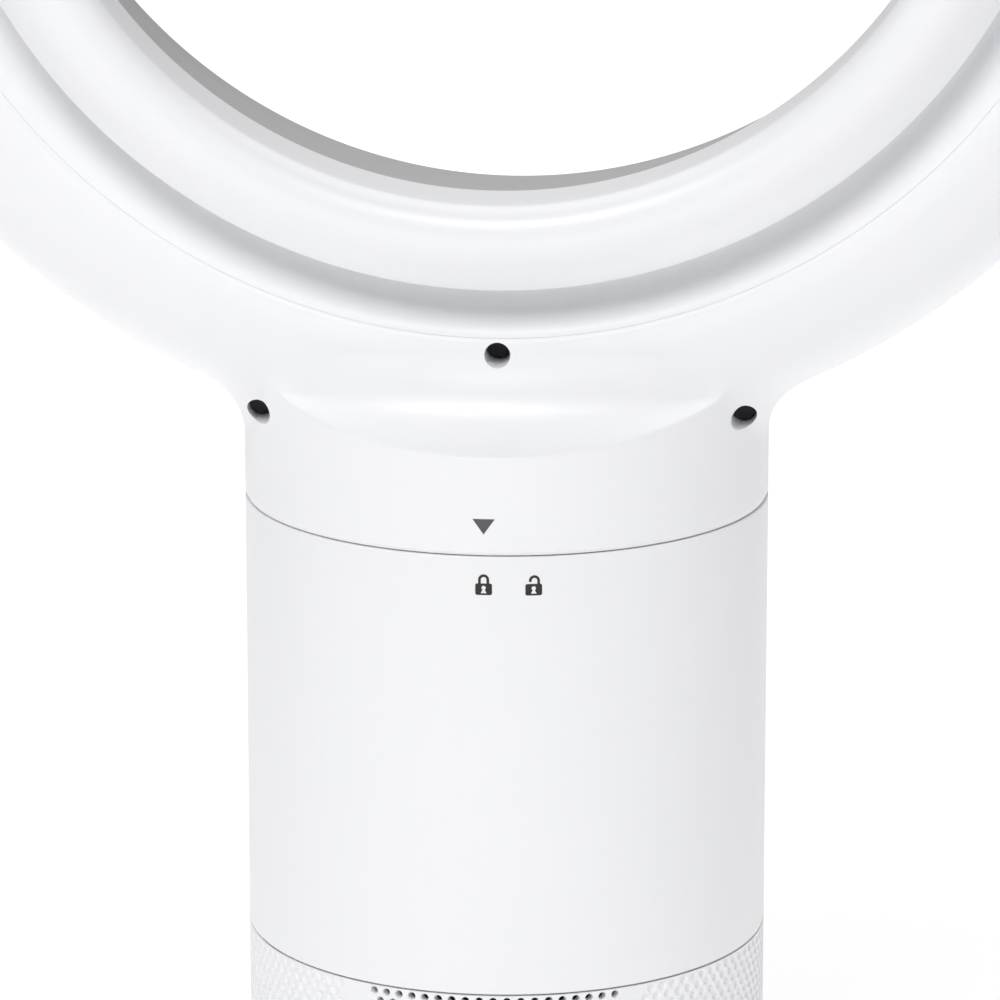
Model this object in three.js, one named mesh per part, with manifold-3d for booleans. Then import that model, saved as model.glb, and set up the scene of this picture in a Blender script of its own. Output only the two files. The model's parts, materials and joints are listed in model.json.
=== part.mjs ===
// A table-top bladeless fan: a ring that blows air forward from a narrow slot, on a
// cylindrical body that tilts on a base, which turns from side to side on a round foot.
// Millimetres, +Z up, the front towards -Y, the origin at the middle of the foot's underside.
import * as THREE from 'three';
import { mergeVertices } from 'three/addons/utils/BufferGeometryUtils.js';
import Module from 'manifold-3d';

// ---------- driving dimensions ----------
const gap = 0.3;                  // clearance between two pieces that seat or slide on each other

// foot
const padRadius = 7;
const padHeight = 2.7;
const padStandOff = 1.6;          // how far a pad reaches below the foot plate
const padCircle = 60;
const footRadius = 74;
const footTopRadius = 72.5;
const footTop = 14;
const footFloor = 2.4;
const footWall = 2.4;
const hubRadius = 11;
const hubBore = 6.5;
const hubTop = 19;
const slideRingWidth = 5.5;
const slideRingMargin = 3;        // between the slide ring and the power socket
const socketWidth = 14;
const socketDepth = 11;
const socketBore = 3.2;
const socketBoreDepth = 8;

// oscillation drive
const gearModule = 1;
const sunTeeth = 44;
const pinionTeeth = 15;
const gearThickness = 4;
const driveMotorRadius = 12;
const driveMotorHeight = 11.5;
const driveShaftRadius = 2.5;

// base
const chassisThickness = 2.5;
const retainerWidth = 5;
const retainerHeight = 1.6;
const flareTop = 36;              // height where the base's flare becomes a plain cylinder
const baseWall = 2.4;
const boardThickness = 1.6;
const boardWidth = 24;
const boardLength = 38;
const boardStandOff = 3;
const standOffRadius = 2;

// tilt bearing between base and body: cylinders about one cross axis
const tiltAxisHeight = 142;
const tiltRadius = 100;
const sledThickness = 2.5;
const cradleThickness = 3;
const railOffset = 22;            // of each rail from the middle plane
const railStem = 3.6;
const railFlange = 8;
const railFlangeThickness = 2;
const railHalfAngle = 12;
const tiltLimit = 10;
const cradlePostRadius = 3.5;
const cradlePostInset = 5.4;      // of the posts' circle, inside the base's wall
const cradlePostAngle = 36.4;     // degrees of each post from the side

// controls
const panelHalfAngle = 39;
const panelBottom = 37.5;
const panelTop = 48.5;
const panelProud = 0.3;
const buttonRadius = 3.5;
const buttonHeight = 43;          // of the row of buttons above the table
const buttonProud = 0.8;
const buttonTravel = 0.8;
const buttonCollar = 0.8;
const buttonStep = 15;            // degrees between neighbours in the row
const lensWidth = 9.5;
const lensHeight = 7;
const flexBoardThickness = 1.2;
const flexBoardTop = 45;
const flexBoardHalfAngle = 36;

// body
const bodyRadius = 55;
const bodyWall = 2.2;
const sledTop = 62.2;
const grilleTop = 98.1;
const seamHeight = 192;           // seam between the body and the ring's collar
const inletHoleRadius = 1.52;       // each stands for a cluster of the real, finer holes
const inletRowStep = 5.5;
const inletColumnStep = 7.5;        // degrees
const inletHalfAngle = 30;
const inletRows = 5;
const ledgeHeight = 142;
const ledgeThickness = 3.6;
const ledgeWidth = 3.3;
const damperHeight = 3.7;

// blower
const bucketClearance = 5.8;      // all round the bucket, inside the body's wall
const bucketWall = 2;
const bucketMouthRadius = 36;
const bucketBottom = 82;
const bucketShoulder = 104;
const bucketTop = 173.4;
const bucketFlange = 2;
const impellerClearance = 1;
const impellerBottom = 84;
const impellerTop = 108;
const impellerHubBottomRadius = 9;
const impellerHubTopRadius = 23;
const bladeCount = 9;
const bladeThickness = 1.4;
const bladePitch = 32;            // degrees
const shaftRadius = 2.5;
const motorRadius = 24;
const motorBottom = 112;
const motorTop = 148;
const motorWall = 1.8;
const bearingRadius = 7;
const bearingHeight = 5;
const rotorRadius = 11.4;
const statorInner = 12;
const statorHeight = 18;
const vaneCount = 9;
const vaneThickness = 1.8;
const vaneRingHeight = 18;
const vaneRingBottom = 126;
const vaneRingWall = 2;
const foamTop = 63.5;
const foamClearance = 4.8;        // all round the lower foam, inside the body's wall
const upperFoamInner = 31;
const upperFoamHeight = 12;

// bayonet between body and ring
const bayonetWall = 2.6;
const bayonetHeight = 11;
const tabCount = 4;
const tabAngle = 9;
const tabReach = 2.4;
const tabHeight = 3;
const skirtWall = 3;
const skirtReach = 15;            // of the skirt below the seam

// ring
const ringRadius = 153;
const ringAboveSeam = 13.6;       // of the ring's lowest point
const ringSection = 44;           // from the outside in to the throat's front edge
const throatTaper = 9.6;          // by how much the throat narrows towards the rear
const ringFront = -50;
const lipRear = 51;
const grooveInset = 38.5;         // of the groove behind the lip, from the outside
const foldInset = 27.4;           // of the fold where the shell meets the recessed band
const foldDepth = 38;
const shellWall = 2.4;
const throatWall = 2.2;
const throatRim = 3.9;            // of the throat's front rim, outwards
const lipWall = 1.5;
const slotWidth = 1.4;            // between the lip and the throat
const ribCount = 12;              // across the slot
const ribWidth = 2;
const ribLength = 8;
const coveInset = 6.5;            // of the cove in the collar, from the ring's outside
const collarFillet = 8;
const collarTop = 45;             // of the collar inside the ring, above the seam
const screwHoleRadius = 2.75;
const screwRadius = 1.6;
const screwHeadRadius = 2.4;
const screwHeadHeight = 2;
const screwLength = 11;
const screwBossRadius = 4.6;
const sideScrewInset = 5;         // of the side screws, from the collar's outside
const sideScrewAboveSeam = 21.8;
const rearScrewAboveSeam = 37.6;
const rearWellMouth = 38;         // how far behind the middle a screw's well opens
const sideWellMouth = 24;
const rearBossLength = 20;
const sideBossLength = 26;

// fineness of round shapes
const ringSides = 40;
const bodySides = 32;
const smallSides = 14;

// ---------- sizes that follow from them ----------
const degrees = Math.PI / 180;
const ringCentre = seamHeight + ringRadius + ringAboveSeam;
const throatFrontRadius = ringRadius - ringSection;
const throatRearRadius = throatFrontRadius - throatTaper;
const lipRadius = throatRearRadius - slotWidth - lipWall;
const grooveRadius = ringRadius - grooveInset;
const foldRadius = ringRadius - foldInset;
const coveRadius = ringRadius - coveInset;
const chassisBottom = footTop;
const chassisTop = chassisBottom + chassisThickness;
const baseShellBottom = footTop + gap;
const bodyInner = bodyRadius - bodyWall;
const baseInner = bodyRadius - baseWall;
const bucketRadius = bodyInner - bucketClearance;
const foamRadius = bodyInner - foamClearance;
const sideScrewX = bodyRadius - sideScrewInset;
const cradlePostX = (baseInner - cradlePostInset) * Math.cos(cradlePostAngle * degrees);
const cradlePostY = (baseInner - cradlePostInset) * Math.sin(cradlePostAngle * degrees);
const slideRingOuter = footTopRadius - socketDepth - slideRingMargin;
const slideRingInner = slideRingOuter - slideRingWidth;
const sunRadius = (gearModule * sunTeeth) / 2;
const pinionRadius = (gearModule * pinionTeeth) / 2;
const driveOffset = sunRadius + pinionRadius;
const gearBottom = padStandOff + footFloor + gap;
const motorFloor = chassisTop + gap;
const cradleInnerRadius = tiltRadius + gap;
const cradleOuterRadius = cradleInnerRadius + cradleThickness;
const flexBoardRadius = bodyRadius - 5.8;
const stemInner = flexBoardRadius + gap + buttonTravel;
const skirtRadius = bodyInner - gap - bayonetWall - tabReach - gap;


// The base's outline from the turning seam up to the plain cylinder: [radius, height].
// Its points are shares of the way in from the foot's rim to the body, and of the way up.
const flareShares = [[1, 0], [0.77, 0.17], [0.49, 0.4], [0.25, 0.65], [0.08, 0.86], [0, 1]];
const flareProfile = shaped(flareShares, [bodyRadius, footTopRadius], [baseShellBottom, flareTop]);

// An outline given as shares of the way from one size to another, in radius and in height or depth.
function shaped(shares, [radius0, radius1], [level0, level1]) {
  return shares.map(([out, up]) => [radius0 + out * (radius1 - radius0), level0 + up * (level1 - level0)]);
}

// An open outline moved sideways by the wall's thickness, towards its right hand.
function inset(points, wall) {
  return points.map((point, k) => {
    const before = points[Math.max(k - 1, 0)];
    const after = points[Math.min(k + 1, points.length - 1)];
    const [along, up] = [after[0] - before[0], after[1] - before[1]];
    const length = Math.hypot(along, up);
    return [point[0] - (wall * up) / length, point[1] + (wall * along) / length];
  });
}

// The value across a list of [value, level] points at a level, by straight lines between them.
function across(points, level) {
  const sorted = [...points].sort((p, q) => p[1] - q[1]);
  const next = Math.max(1, sorted.findIndex(([, height]) => height >= level));
  const [low, high] = [sorted[next - 1], sorted[next]];
  return low[0] + ((high[0] - low[0]) * (level - low[1])) / (high[1] - low[1]);
}
const chassisRadius = across(flareProfile, chassisTop) - baseWall - gap;

// ---------- closed solids ----------
const wasm = await Module();
wasm.setup();

// A closed geometry as a solid, with its faces turned outwards.
function solid(geometry) {
  const bare = geometry.index ? geometry.toNonIndexed() : geometry.clone();
  for (const name of Object.keys(bare.attributes)) {
    if (name !== 'position') bare.deleteAttribute(name);
  }
  const merged = mergeVertices(bare, 1e-4);
  const place = merged.attributes.position;
  const corners = [];
  let volume = 0;
  const [a, b, c] = [new THREE.Vector3(), new THREE.Vector3(), new THREE.Vector3()];
  for (let i = 0; i < merged.index.count; i += 3) {
    const [p, q, r] = [0, 1, 2].map((k) => merged.index.getX(i + k));
    if (p === q || q === r || r === p) continue;
    corners.push(p, q, r);
    a.fromBufferAttribute(place, p);
    b.fromBufferAttribute(place, q);
    c.fromBufferAttribute(place, r);
    volume += a.dot(b.cross(c));
  }
  if (volume < 0) corners.reverse();
  return new wasm.Manifold(new wasm.Mesh({
    numProp: 3,
    vertProperties: new Float32Array(place.array),
    triVerts: new Uint32Array(corners),
  }));
}

// The sum of a list of solids, and what is left of one after others are cut away.
const join = (...pieces) => pieces.reduce((whole, piece) => whole.add(piece));
const cut = (whole, ...tools) => tools.reduce((rest, tool) => rest.subtract(tool), whole);

// A solid of revolution about the upright axis: points are [radius, height].
function turned(points, sides = bodySides) {
  const profile = points.map(([radius, height]) => new THREE.Vector2(radius, height));
  return solid(new THREE.LatheGeometry(profile, sides).rotateX(Math.PI / 2));
}

// A solid of revolution about the ring's axis: points are [radius, depth towards the rear].
function ringTurned(points, sides = ringSides) {
  const profile = points.map(([radius, depth]) => new THREE.Vector2(radius, depth));
  return solid(new THREE.LatheGeometry(profile, sides).translate(0, 0, ringCentre));
}

const closedLoop = (points) => [...points, points[0]];
const disc = (radius, low, high, sides = bodySides) => turned(
  [[0, low], [radius, low], [radius, high], [0, high]], sides);
const hoop = (inner, outer, low, high, sides = bodySides) => turned(closedLoop(
  [[inner, low], [outer, low], [outer, high], [inner, high]]), sides);
const block = (x, y, z) => solid(new THREE.BoxGeometry(x, y, z));
const drum = (radius, length, sides = smallSides) => solid(
  new THREE.CylinderGeometry(radius, radius, length, sides));       // along Y
const tiltDrum = (radius) => drum(radius, 4 * bodyRadius, 56).rotate([0, 0, 90]).translate([0, 0, tiltAxisHeight]);
const aroundZ = (piece, angle) => piece.rotate([0, 0, angle]);

// An outline in the plane of Y (across) and Z (up), pushed along X by a width about the middle.
function slice(points, width) {
  const outline = new THREE.Shape(points.map(([y, z]) => new THREE.Vector2(y, z)));
  const plate = new THREE.ExtrudeGeometry(outline, { depth: width, bevelEnabled: false, curveSegments: 1 });
  plate.translate(0, 0, -width / 2).rotateY(Math.PI / 2).rotateX(Math.PI / 2);
  return solid(plate);
}

// A strip that follows the tilt bearing's arc, between two radii, to an angle either side.
function tiltStrip(inner, outer, halfAngle, width, steps = 10) {
  const at = (radius, k) => {
    const angle = ((2 * k) / steps - 1) * halfAngle * degrees;
    return [radius * Math.sin(angle), tiltAxisHeight - radius * Math.cos(angle)];
  };
  const ks = Array.from({ length: steps + 1 }, (_, k) => k);
  return slice([...ks.map((k) => at(outer, k)), ...ks.reverse().map((k) => at(inner, k))], width);
}

// A curved plate about the upright axis, between two radii, centred on an azimuth from the front.
function curvedPlate(inner, outer, low, high, halfAngle, azimuth = 0, steps = 8) {
  const at = (radius, k) => {
    const angle = (-90 + azimuth + ((2 * k) / steps - 1) * halfAngle) * degrees;
    return new THREE.Vector2(radius * Math.cos(angle), radius * Math.sin(angle));
  };
  const ks = Array.from({ length: steps + 1 }, (_, k) => k);
  const outline = new THREE.Shape([...ks.map((k) => at(outer, k)), ...ks.reverse().map((k) => at(inner, k))]);
  const plate = new THREE.ExtrudeGeometry(outline, { depth: high - low, bevelEnabled: false, curveSegments: 1 });
  return solid(plate.translate(0, 0, low));
}

// ---------- materials ----------
const white = { color: 0xeff0f2, roughness: 0.36 };
const shade = { color: 0xe2e3e5, roughness: 0.42 };
const finishes = {
  shell_white: white,
  throat_grey: { color: 0xc9cacc, roughness: 0.45 },
  inner_plastic: shade,
  dark_plastic: { color: 0x2a2b2e, roughness: 0.5 },
  rubber: { color: 0x3a3b3d, roughness: 0.85 },
  steel: { color: 0xb9bcc0, roughness: 0.3, metalness: 1 },
  copper: { color: 0xb8703c, roughness: 0.35, metalness: 1 },
  circuit_board: { color: 0x2f5d3a, roughness: 0.6 },
  foam: { color: 0x55575b, roughness: 0.95 },
  lens: { color: 0x15171a, roughness: 0.12 },
  button_grey: { color: 0xd6d7d9, roughness: 0.4 },
};
const materials = Object.fromEntries(Object.entries(finishes).map(
  ([name, finish]) => [name, new THREE.MeshStandardMaterial({ name, ...finish })]));

const fan = new THREE.Group();
fan.name = 'bladeless_fan';

// Puts a solid into the scene as a named piece.
function place(name, piece, finish) {
  const { vertProperties, triVerts } = piece.getMesh();
  const geometry = new THREE.BufferGeometry();
  geometry.setAttribute('position', new THREE.BufferAttribute(new Float32Array(vertProperties), 3));
  geometry.setIndex(new THREE.BufferAttribute(new Uint32Array(triVerts), 1));
  const flat = geometry.toNonIndexed();
  flat.computeVertexNormals();
  const mesh = new THREE.Mesh(flat, materials[finish]);
  mesh.name = name;
  fan.add(mesh);
}

// ---------- foot ----------
function makeFoot() {
  const floor = padStandOff + footFloor;
  const shell = turned([
    [0, padStandOff], [footRadius - 2, padStandOff], [footRadius, padStandOff + 2],
    [footTopRadius, footTop], [footTopRadius - footWall, footTop], [footTopRadius - footWall, floor],
    [0, floor]]);
  const hub = disc(hubRadius, padStandOff, hubTop, smallSides);
  const bore = disc(hubBore, 0, hubTop + 1, smallSides);
  const recesses = [];
  for (let k = 0; k < 4; k += 1) {
    const angle = 45 + 90 * k;
    const pad = disc(padRadius, 0, padHeight, smallSides).translate([padCircle, 0, 0]);
    place(`rubber_foot_${k + 1}`, aroundZ(pad, angle), 'rubber');
    const recess = disc(padRadius + gap, 0, padHeight + gap, smallSides).translate([padCircle, 0, 0]);
    recesses.push(aroundZ(recess, angle));
  }
  const socketHeight = footTop - floor - 2 * gap;
  const socketMiddle = footTopRadius - socketDepth / 2;
  const socketCentre = [0, socketMiddle, floor + gap + socketHeight / 2];
  const socketGap = block(socketWidth + 2 * gap, socketDepth * 2, socketHeight + 4 * gap)
    .translate([0, footTopRadius, socketCentre[2] + gap]);
  place('foot_plate', cut(join(shell, hub), bore, socketGap, ...recesses), 'shell_white');
  const bodyBlock = block(socketWidth, socketDepth, socketHeight).translate(socketCentre);
  const pinBore = drum(socketBore, socketBoreDepth * 2).translate([0, footTopRadius, socketCentre[2]]);
  place('power_socket', cut(bodyBlock, pinBore), 'dark_plastic');
  place('slide_ring', hoop(slideRingInner, slideRingOuter, floor + gap, footTop - gap), 'inner_plastic');
}

// A spur gear with straight-sided teeth, centred on the upright axis, with a tooth towards +X.
function gear(teeth, bore, low, high) {
  const pitch = (gearModule * teeth) / 2;
  const [tip, root] = [pitch + 0.85 * gearModule, pitch - 1.2 * gearModule];
  const step = 360 / teeth;
  const corners = [];
  for (let k = 0; k < teeth; k += 1) {
    for (const [radius, share] of [[root, -0.31], [tip, -0.11], [tip, 0.11], [root, 0.31]]) {
      const angle = (k + share) * step * degrees;
      corners.push(new THREE.Vector2(radius * Math.cos(angle), radius * Math.sin(angle)));
    }
  }
  const plate = new THREE.ExtrudeGeometry(new THREE.Shape(corners), { depth: high - low, bevelEnabled: false });
  return cut(solid(plate.translate(0, 0, low)), disc(bore, low - 1, high + 1, smallSides));
}

// ---------- oscillation drive ----------
function makeDrive() {
  const high = gearBottom + gearThickness;
  const sun = gear(sunTeeth, hubRadius + gap, gearBottom, high);
  place('fixed_gear', aroundZ(sun, 90), 'inner_plastic');
  // The drive pinion stands behind the hub; its odd tooth count turns a gap to meet the fixed gear's tooth.
  const pinion = gear(pinionTeeth, driveShaftRadius + gap, gearBottom, high);
  place('drive_pinion', aroundZ(pinion, 90).translate([0, driveOffset, 0]), 'inner_plastic');
  const shaft = disc(driveShaftRadius, gearBottom, motorFloor + 2, smallSides);
  const can = disc(driveMotorRadius, motorFloor, motorFloor + driveMotorHeight, 32);
  place('oscillation_motor', join(can, shaft).translate([0, driveOffset, 0]), 'steel');
}

// ---------- base ----------
function makeBase() {
  const floorPlate = disc(chassisRadius, chassisBottom, chassisTop);
  const hubHole = disc(hubRadius + gap, 0, hubTop, smallSides);
  const shaftHole = disc(driveShaftRadius + 1, 0, hubTop, smallSides).translate([0, driveOffset, 0]);
  const boardCentre = [-34, 0];
  const corners = [[1, 1], [1, -1], [-1, 1], [-1, -1]].map(([sx, sy]) => disc(
    standOffRadius, chassisTop - 1, chassisTop + boardStandOff, 12).translate([
    boardCentre[0] + sx * (boardWidth / 2 - standOffRadius),
    boardCentre[1] + sy * (boardLength / 2 - standOffRadius), 0]));
  place('base_chassis', cut(join(floorPlate, ...corners), hubHole, shaftHole), 'inner_plastic');
  const retainer = hoop(hubRadius + gap, hubRadius + gap + retainerWidth, chassisTop + gap,
    chassisTop + gap + retainerHeight, smallSides);
  place('retaining_ring', retainer, 'steel');
  const board = block(boardWidth, boardLength, boardThickness).translate([
    ...boardCentre, chassisTop + boardStandOff + gap + boardThickness / 2]);
  place('power_board', board, 'circuit_board');

  const outer = [...flareProfile, [bodyRadius, sledTop]];
  const inner = outer.map(([radius, height]) => [radius - baseWall, height]).reverse();
  const opening = curvedPlate(bodyRadius - baseWall - 2, bodyRadius + 2, panelBottom - gap, panelTop + gap,
    panelHalfAngle + gap);
  place('base_shell', cut(turned(closedLoop([...outer, ...inner])), tiltDrum(cradleInnerRadius), opening),
    'shell_white');

  const arc = tiltStrip(cradleInnerRadius, cradleOuterRadius, 40, 2 * bodyRadius, 24);
  const posts = [[1, 1], [1, -1], [-1, 1], [-1, -1]].map(([sx, sy]) => disc(
    cradlePostRadius, motorFloor, 60, 12).translate([sx * cradlePostX, sy * cradlePostY, 0]));
  const trimmedPosts = cut(join(...posts), tiltDrum(cradleInnerRadius + 0.5));
  const slots = [-railOffset, railOffset].map((x) => tiltStrip(
    cradleInnerRadius - 2, cradleOuterRadius + 2, railHalfAngle + tiltLimit + 0.6, railStem + 2 * gap)
    .translate([x, 0, 0]));
  const plate = arc.intersect(disc(baseInner - gap, 0, 100));
  place('tilt_cradle', cut(join(plate, trimmedPosts), ...slots), 'inner_plastic');
}

// ---------- controls ----------
const buttonNames = [['power_button', -2], ['speed_down_button', -1], ['speed_up_button', 1], ['oscillation_button', 2]];

function makeControls() {
  const holes = buttonNames.map(([, position]) => aroundZ(
    drum(buttonRadius + gap, 20).translate([0, -bodyRadius, buttonHeight]), position * buttonStep));
  const lensHalf = (lensWidth / 2 / bodyRadius) / degrees;
  const lensHole = curvedPlate(bodyRadius - 6, bodyRadius + 3, buttonHeight - lensHeight / 2 - gap,
    buttonHeight + lensHeight / 2 + gap, lensHalf + gap);
  const panel = curvedPlate(baseInner, bodyRadius + panelProud, panelBottom, panelTop, panelHalfAngle);
  place('control_panel', cut(panel, lensHole, ...holes), 'shell_white');
  place('display_lens', curvedPlate(flexBoardRadius + gap, bodyRadius + panelProud,
    buttonHeight - lensHeight / 2, buttonHeight + lensHeight / 2, lensHalf), 'lens');
  place('control_board', curvedPlate(flexBoardRadius - flexBoardThickness, flexBoardRadius,
    panelBottom, flexBoardTop, flexBoardHalfAngle), 'circuit_board');
  const outerEnd = bodyRadius + panelProud + buttonProud;
  for (const [name, position] of buttonNames) {
    const cap = drum(buttonRadius, outerEnd - stemInner).translate([0, -(outerEnd + stemInner) / 2, buttonHeight]);
    const collar = drum(buttonRadius + buttonCollar, 1).translate([0, -(stemInner + 0.5), buttonHeight]);
    place(name, aroundZ(join(cap, collar), position * buttonStep), 'button_grey');
  }
}

// ---------- tilting body ----------
function makeBody() {
  const plug = disc(bodyRadius, tiltAxisHeight - tiltRadius - 1, sledTop).intersect(tiltDrum(tiltRadius));
  const hollow = disc(bodyInner, 0, sledTop + 1).intersect(tiltDrum(tiltRadius - sledThickness));
  place('tilt_sled', cut(plug, hollow), 'shell_white');
  const flangeInner = cradleOuterRadius + gap;
  for (const [name, side] of [['tilt_rail_left', -1], ['tilt_rail_right', 1]]) {
    const stem = tiltStrip(tiltRadius + gap, flangeInner + 0.5, railHalfAngle, railStem);
    const flange = tiltStrip(flangeInner, flangeInner + railFlangeThickness, railHalfAngle, railFlange);
    place(name, join(stem, flange).translate([side * railOffset, 0, 0]), 'inner_plastic');
  }
  const foamBottom = tiltAxisHeight - Math.sqrt((tiltRadius - sledThickness) ** 2 - foamRadius ** 2) + gap;
  place('silencing_foam', disc(foamRadius, foamBottom, foamTop, 32), 'foam');

  const grille = hoop(bodyInner, bodyRadius, sledTop + gap, grilleTop);
  const holes = [];
  for (let row = 0; row < inletRows; row += 1) {
    const shift = row % 2 ? inletColumnStep / 2 : 0;
    for (let angle = -inletHalfAngle + shift; angle <= inletHalfAngle; angle += inletColumnStep) {
      const hole = drum(inletHoleRadius, 12, 6).translate([0, bodyRadius, grilleTop - 3 - row * inletRowStep]);
      holes.push(aroundZ(hole, angle));
    }
  }
  place('inlet_grille', cut(grille, join(...holes)), 'shell_white');

  const wallTop = seamHeight - gap;
  place('body_shell', turned(closedLoop([
    [bodyInner, grilleTop + gap], [bodyRadius, grilleTop + gap], [bodyRadius, wallTop], [bodyInner, wallTop],
    [bodyInner, ledgeHeight + ledgeThickness], [bodyInner - ledgeWidth, ledgeHeight + ledgeThickness],
    [bodyInner - ledgeWidth, ledgeHeight + 1], [bodyInner, ledgeHeight - 3]])), 'shell_white');
}

// ---------- blower ----------
function makeBlower() {
  const damperBottom = ledgeHeight + ledgeThickness + gap;
  const damperTop = damperBottom + damperHeight;
  place('bucket_damper', hoop(bodyInner - ledgeWidth, bodyInner - gap, damperBottom, damperTop), 'rubber');
  const flangeBottom = damperTop + gap;
  const bore = bucketRadius - bucketWall;
  place('motor_bucket', turned(closedLoop([
    [bucketMouthRadius, bucketBottom], [bucketRadius, bucketShoulder], [bucketRadius, flangeBottom],
    [bodyInner - gap, flangeBottom], [bodyInner - gap, flangeBottom + bucketFlange],
    [bucketRadius, flangeBottom + bucketFlange], [bucketRadius, bucketTop], [bore, bucketTop],
    [bore, bucketShoulder + 1], [bucketMouthRadius - bucketWall, bucketBottom + 1]])), 'inner_plastic');

  const hub = turned(closedLoop([
    [shaftRadius + gap, impellerBottom], [impellerHubBottomRadius, impellerBottom],
    [impellerHubTopRadius, impellerTop], [shaftRadius + gap, impellerTop]]), 27);
  const reachLow = bucketMouthRadius - bucketWall - impellerClearance;
  const reachHigh = bore - impellerClearance;
  const envelope = turned([[0, impellerBottom + 1], [reachLow, impellerBottom + 1], [reachHigh - 2, impellerTop - 4],
    [reachHigh - 2, impellerTop], [0, impellerTop]], 36);
  const blade = slice([[5, impellerBottom - 8], [60, impellerBottom - 8], [60, impellerTop + 8], [5, impellerTop + 8]],
    bladeThickness).translate([0, 0, -(impellerBottom + impellerTop) / 2]).rotate([0, bladePitch, 0])
    .translate([0, 0, (impellerBottom + impellerTop) / 2]);
  const blades = Array.from({ length: bladeCount }, (_, k) => aroundZ(blade, (360 * k) / bladeCount));
  const core = disc(impellerHubBottomRadius - 2, impellerBottom, impellerTop, smallSides);
  const shaftWay = disc(shaftRadius + gap, impellerBottom - 5, impellerTop + 5, smallSides);
  place('impeller', cut(join(...blades.map((each) => each.intersect(envelope)), hub, core), shaftWay), 'inner_plastic');

  place('motor_shaft', disc(shaftRadius, impellerBottom, motorTop - 1, smallSides), 'steel');
  const inside = motorRadius - motorWall;
  const housing = cut(
    turned([[0, motorBottom], [motorRadius, motorBottom], [motorRadius, motorTop - 6], [motorRadius - 8, motorTop],
      [0, motorTop]], 32),
    disc(inside, motorBottom + bearingHeight, motorTop - 2 * bearingHeight, 32),
    disc(bearingRadius + gap, motorBottom - 1, motorTop + 1, smallSides));
  place('motor_housing', housing, 'inner_plastic');
  for (const [name, low] of [['lower_bearing', motorBottom], ['upper_bearing', motorTop - 2 * bearingHeight]]) {
    place(name, hoop(shaftRadius + gap, bearingRadius, low, low + bearingHeight, smallSides), 'steel');
  }
  const statorLow = motorBottom + bearingHeight + gap;
  place('rotor_magnet', hoop(shaftRadius + gap, rotorRadius, statorLow, statorLow + statorHeight, smallSides), 'steel');
  const teeth = Array.from({ length: 6 }, (_, k) => aroundZ(
    block(6, 9, statorHeight).translate([0, inside - gap - 5, statorLow + statorHeight / 2]), 60 * k));
  const yoke = hoop(inside - gap - 2.5, inside - gap, statorLow, statorLow + statorHeight, 32);
  const within = hoop(statorInner, inside - gap, statorLow, statorLow + statorHeight, 32);
  place('stator', join(yoke, ...teeth).intersect(within), 'copper');

  const vaneTop = vaneRingBottom + vaneRingHeight;
  const innerRing = hoop(motorRadius + gap, motorRadius + gap + vaneRingWall, vaneRingBottom, vaneTop - 4, 36);
  const outerRing = hoop(bore - gap - vaneRingWall, bore - gap, vaneRingBottom, vaneTop, 36);
  const span = hoop(motorRadius + gap + 1, bore - gap - 1, vaneRingBottom, vaneTop - 4, 36);
  const vane = block(vaneThickness, bore - motorRadius, 2 * vaneRingHeight).rotate([0, -35, 0]).translate([0, (bore + motorRadius) / 2, (vaneRingBottom + vaneTop) / 2]);
  const vanes = Array.from({ length: vaneCount }, (_, k) => aroundZ(vane, (360 * k) / vaneCount).intersect(span));
  place('vane_ring', join(innerRing, outerRing, ...vanes), 'inner_plastic');
  place('upper_foam', hoop(upperFoamInner, bore - gap, bucketTop - upperFoamHeight - 1, bucketTop - 1, 32), 'foam');
}

// ---------- bayonet ----------
// Tabs on the body reach inwards over tabs on the ring's skirt, which reach outwards.
function makeBayonet() {
  const wallTop = seamHeight - gap;
  const ringInner = bodyInner - gap - bayonetWall;
  const upperTab = wallTop - tabHeight - 1;
  const inward = Array.from({ length: tabCount }, (_, k) => curvedPlate(ringInner - tabReach, ringInner + 1,
    upperTab, upperTab + tabHeight, tabAngle / 2, (360 * k) / tabCount, 3));
  place('bayonet_ring', join(
    hoop(ringInner, bodyInner - gap, wallTop - bayonetHeight, wallTop - 0.2), ...inward), 'inner_plastic');
  const outward = Array.from({ length: tabCount }, (_, k) => curvedPlate(skirtRadius - 1, skirtRadius + tabReach,
    upperTab - gap - tabHeight, upperTab - gap, tabAngle / 2, (360 * k) / tabCount, 3));
  const low = seamHeight - skirtReach;
  const skirt = hoop(skirtRadius - skirtWall, skirtRadius, low, seamHeight + 4);
  const flange = hoop(skirtRadius - 1, bodyInner - gap, seamHeight + gap, seamHeight + 3);
  place('bayonet_skirt', join(skirt, flange, ...outward), 'inner_plastic');
  place('outlet_seal', hoop(skirtRadius - skirtWall, skirtRadius, bucketTop + gap, low - gap), 'rubber');
}

// ---------- ring ----------
// Half sections in radius from the ring's axis and depth towards the rear, as shares of the ring's sizes.
const ringDepth = [ringFront, foldDepth];
const throatEdge = throatFrontRadius + throatRim;
const shellOutside = [...shaped([[0.0955, 0.0068], [0.2045, 0.0205], [0.5455, 0.2045], [0.8182, 0.4205],
  [0.9545, 0.5682], [1, 0.6705], [0.9727, 0.767], [0.8773, 0.8636], [0.7273, 0.9386], [0.5227, 0.9909]],
[throatFrontRadius, ringRadius], ringDepth), [foldRadius, foldDepth]];
const shellInside = [[throatEdge + gap, ringFront + shellWall + 0.8], ...inset(shellOutside, shellWall).slice(1, -1),
  [foldRadius - shellWall / 2, foldDepth - shellWall - 0.2]];
// The hollows that the collar leaves round the ring, behind it and in front of it.
const coveShares = [[1, 1], [0.9474, 0.7059], [0.8134, 0.4353], [0.6124, 0.2118], [0.4019, 0.0588], [0.2584, -0.0235]];
const browShares = [[1, 1], [0.8325, 0.7636], [0.4976, 0.6], [0.2584, 0.6182]];

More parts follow.
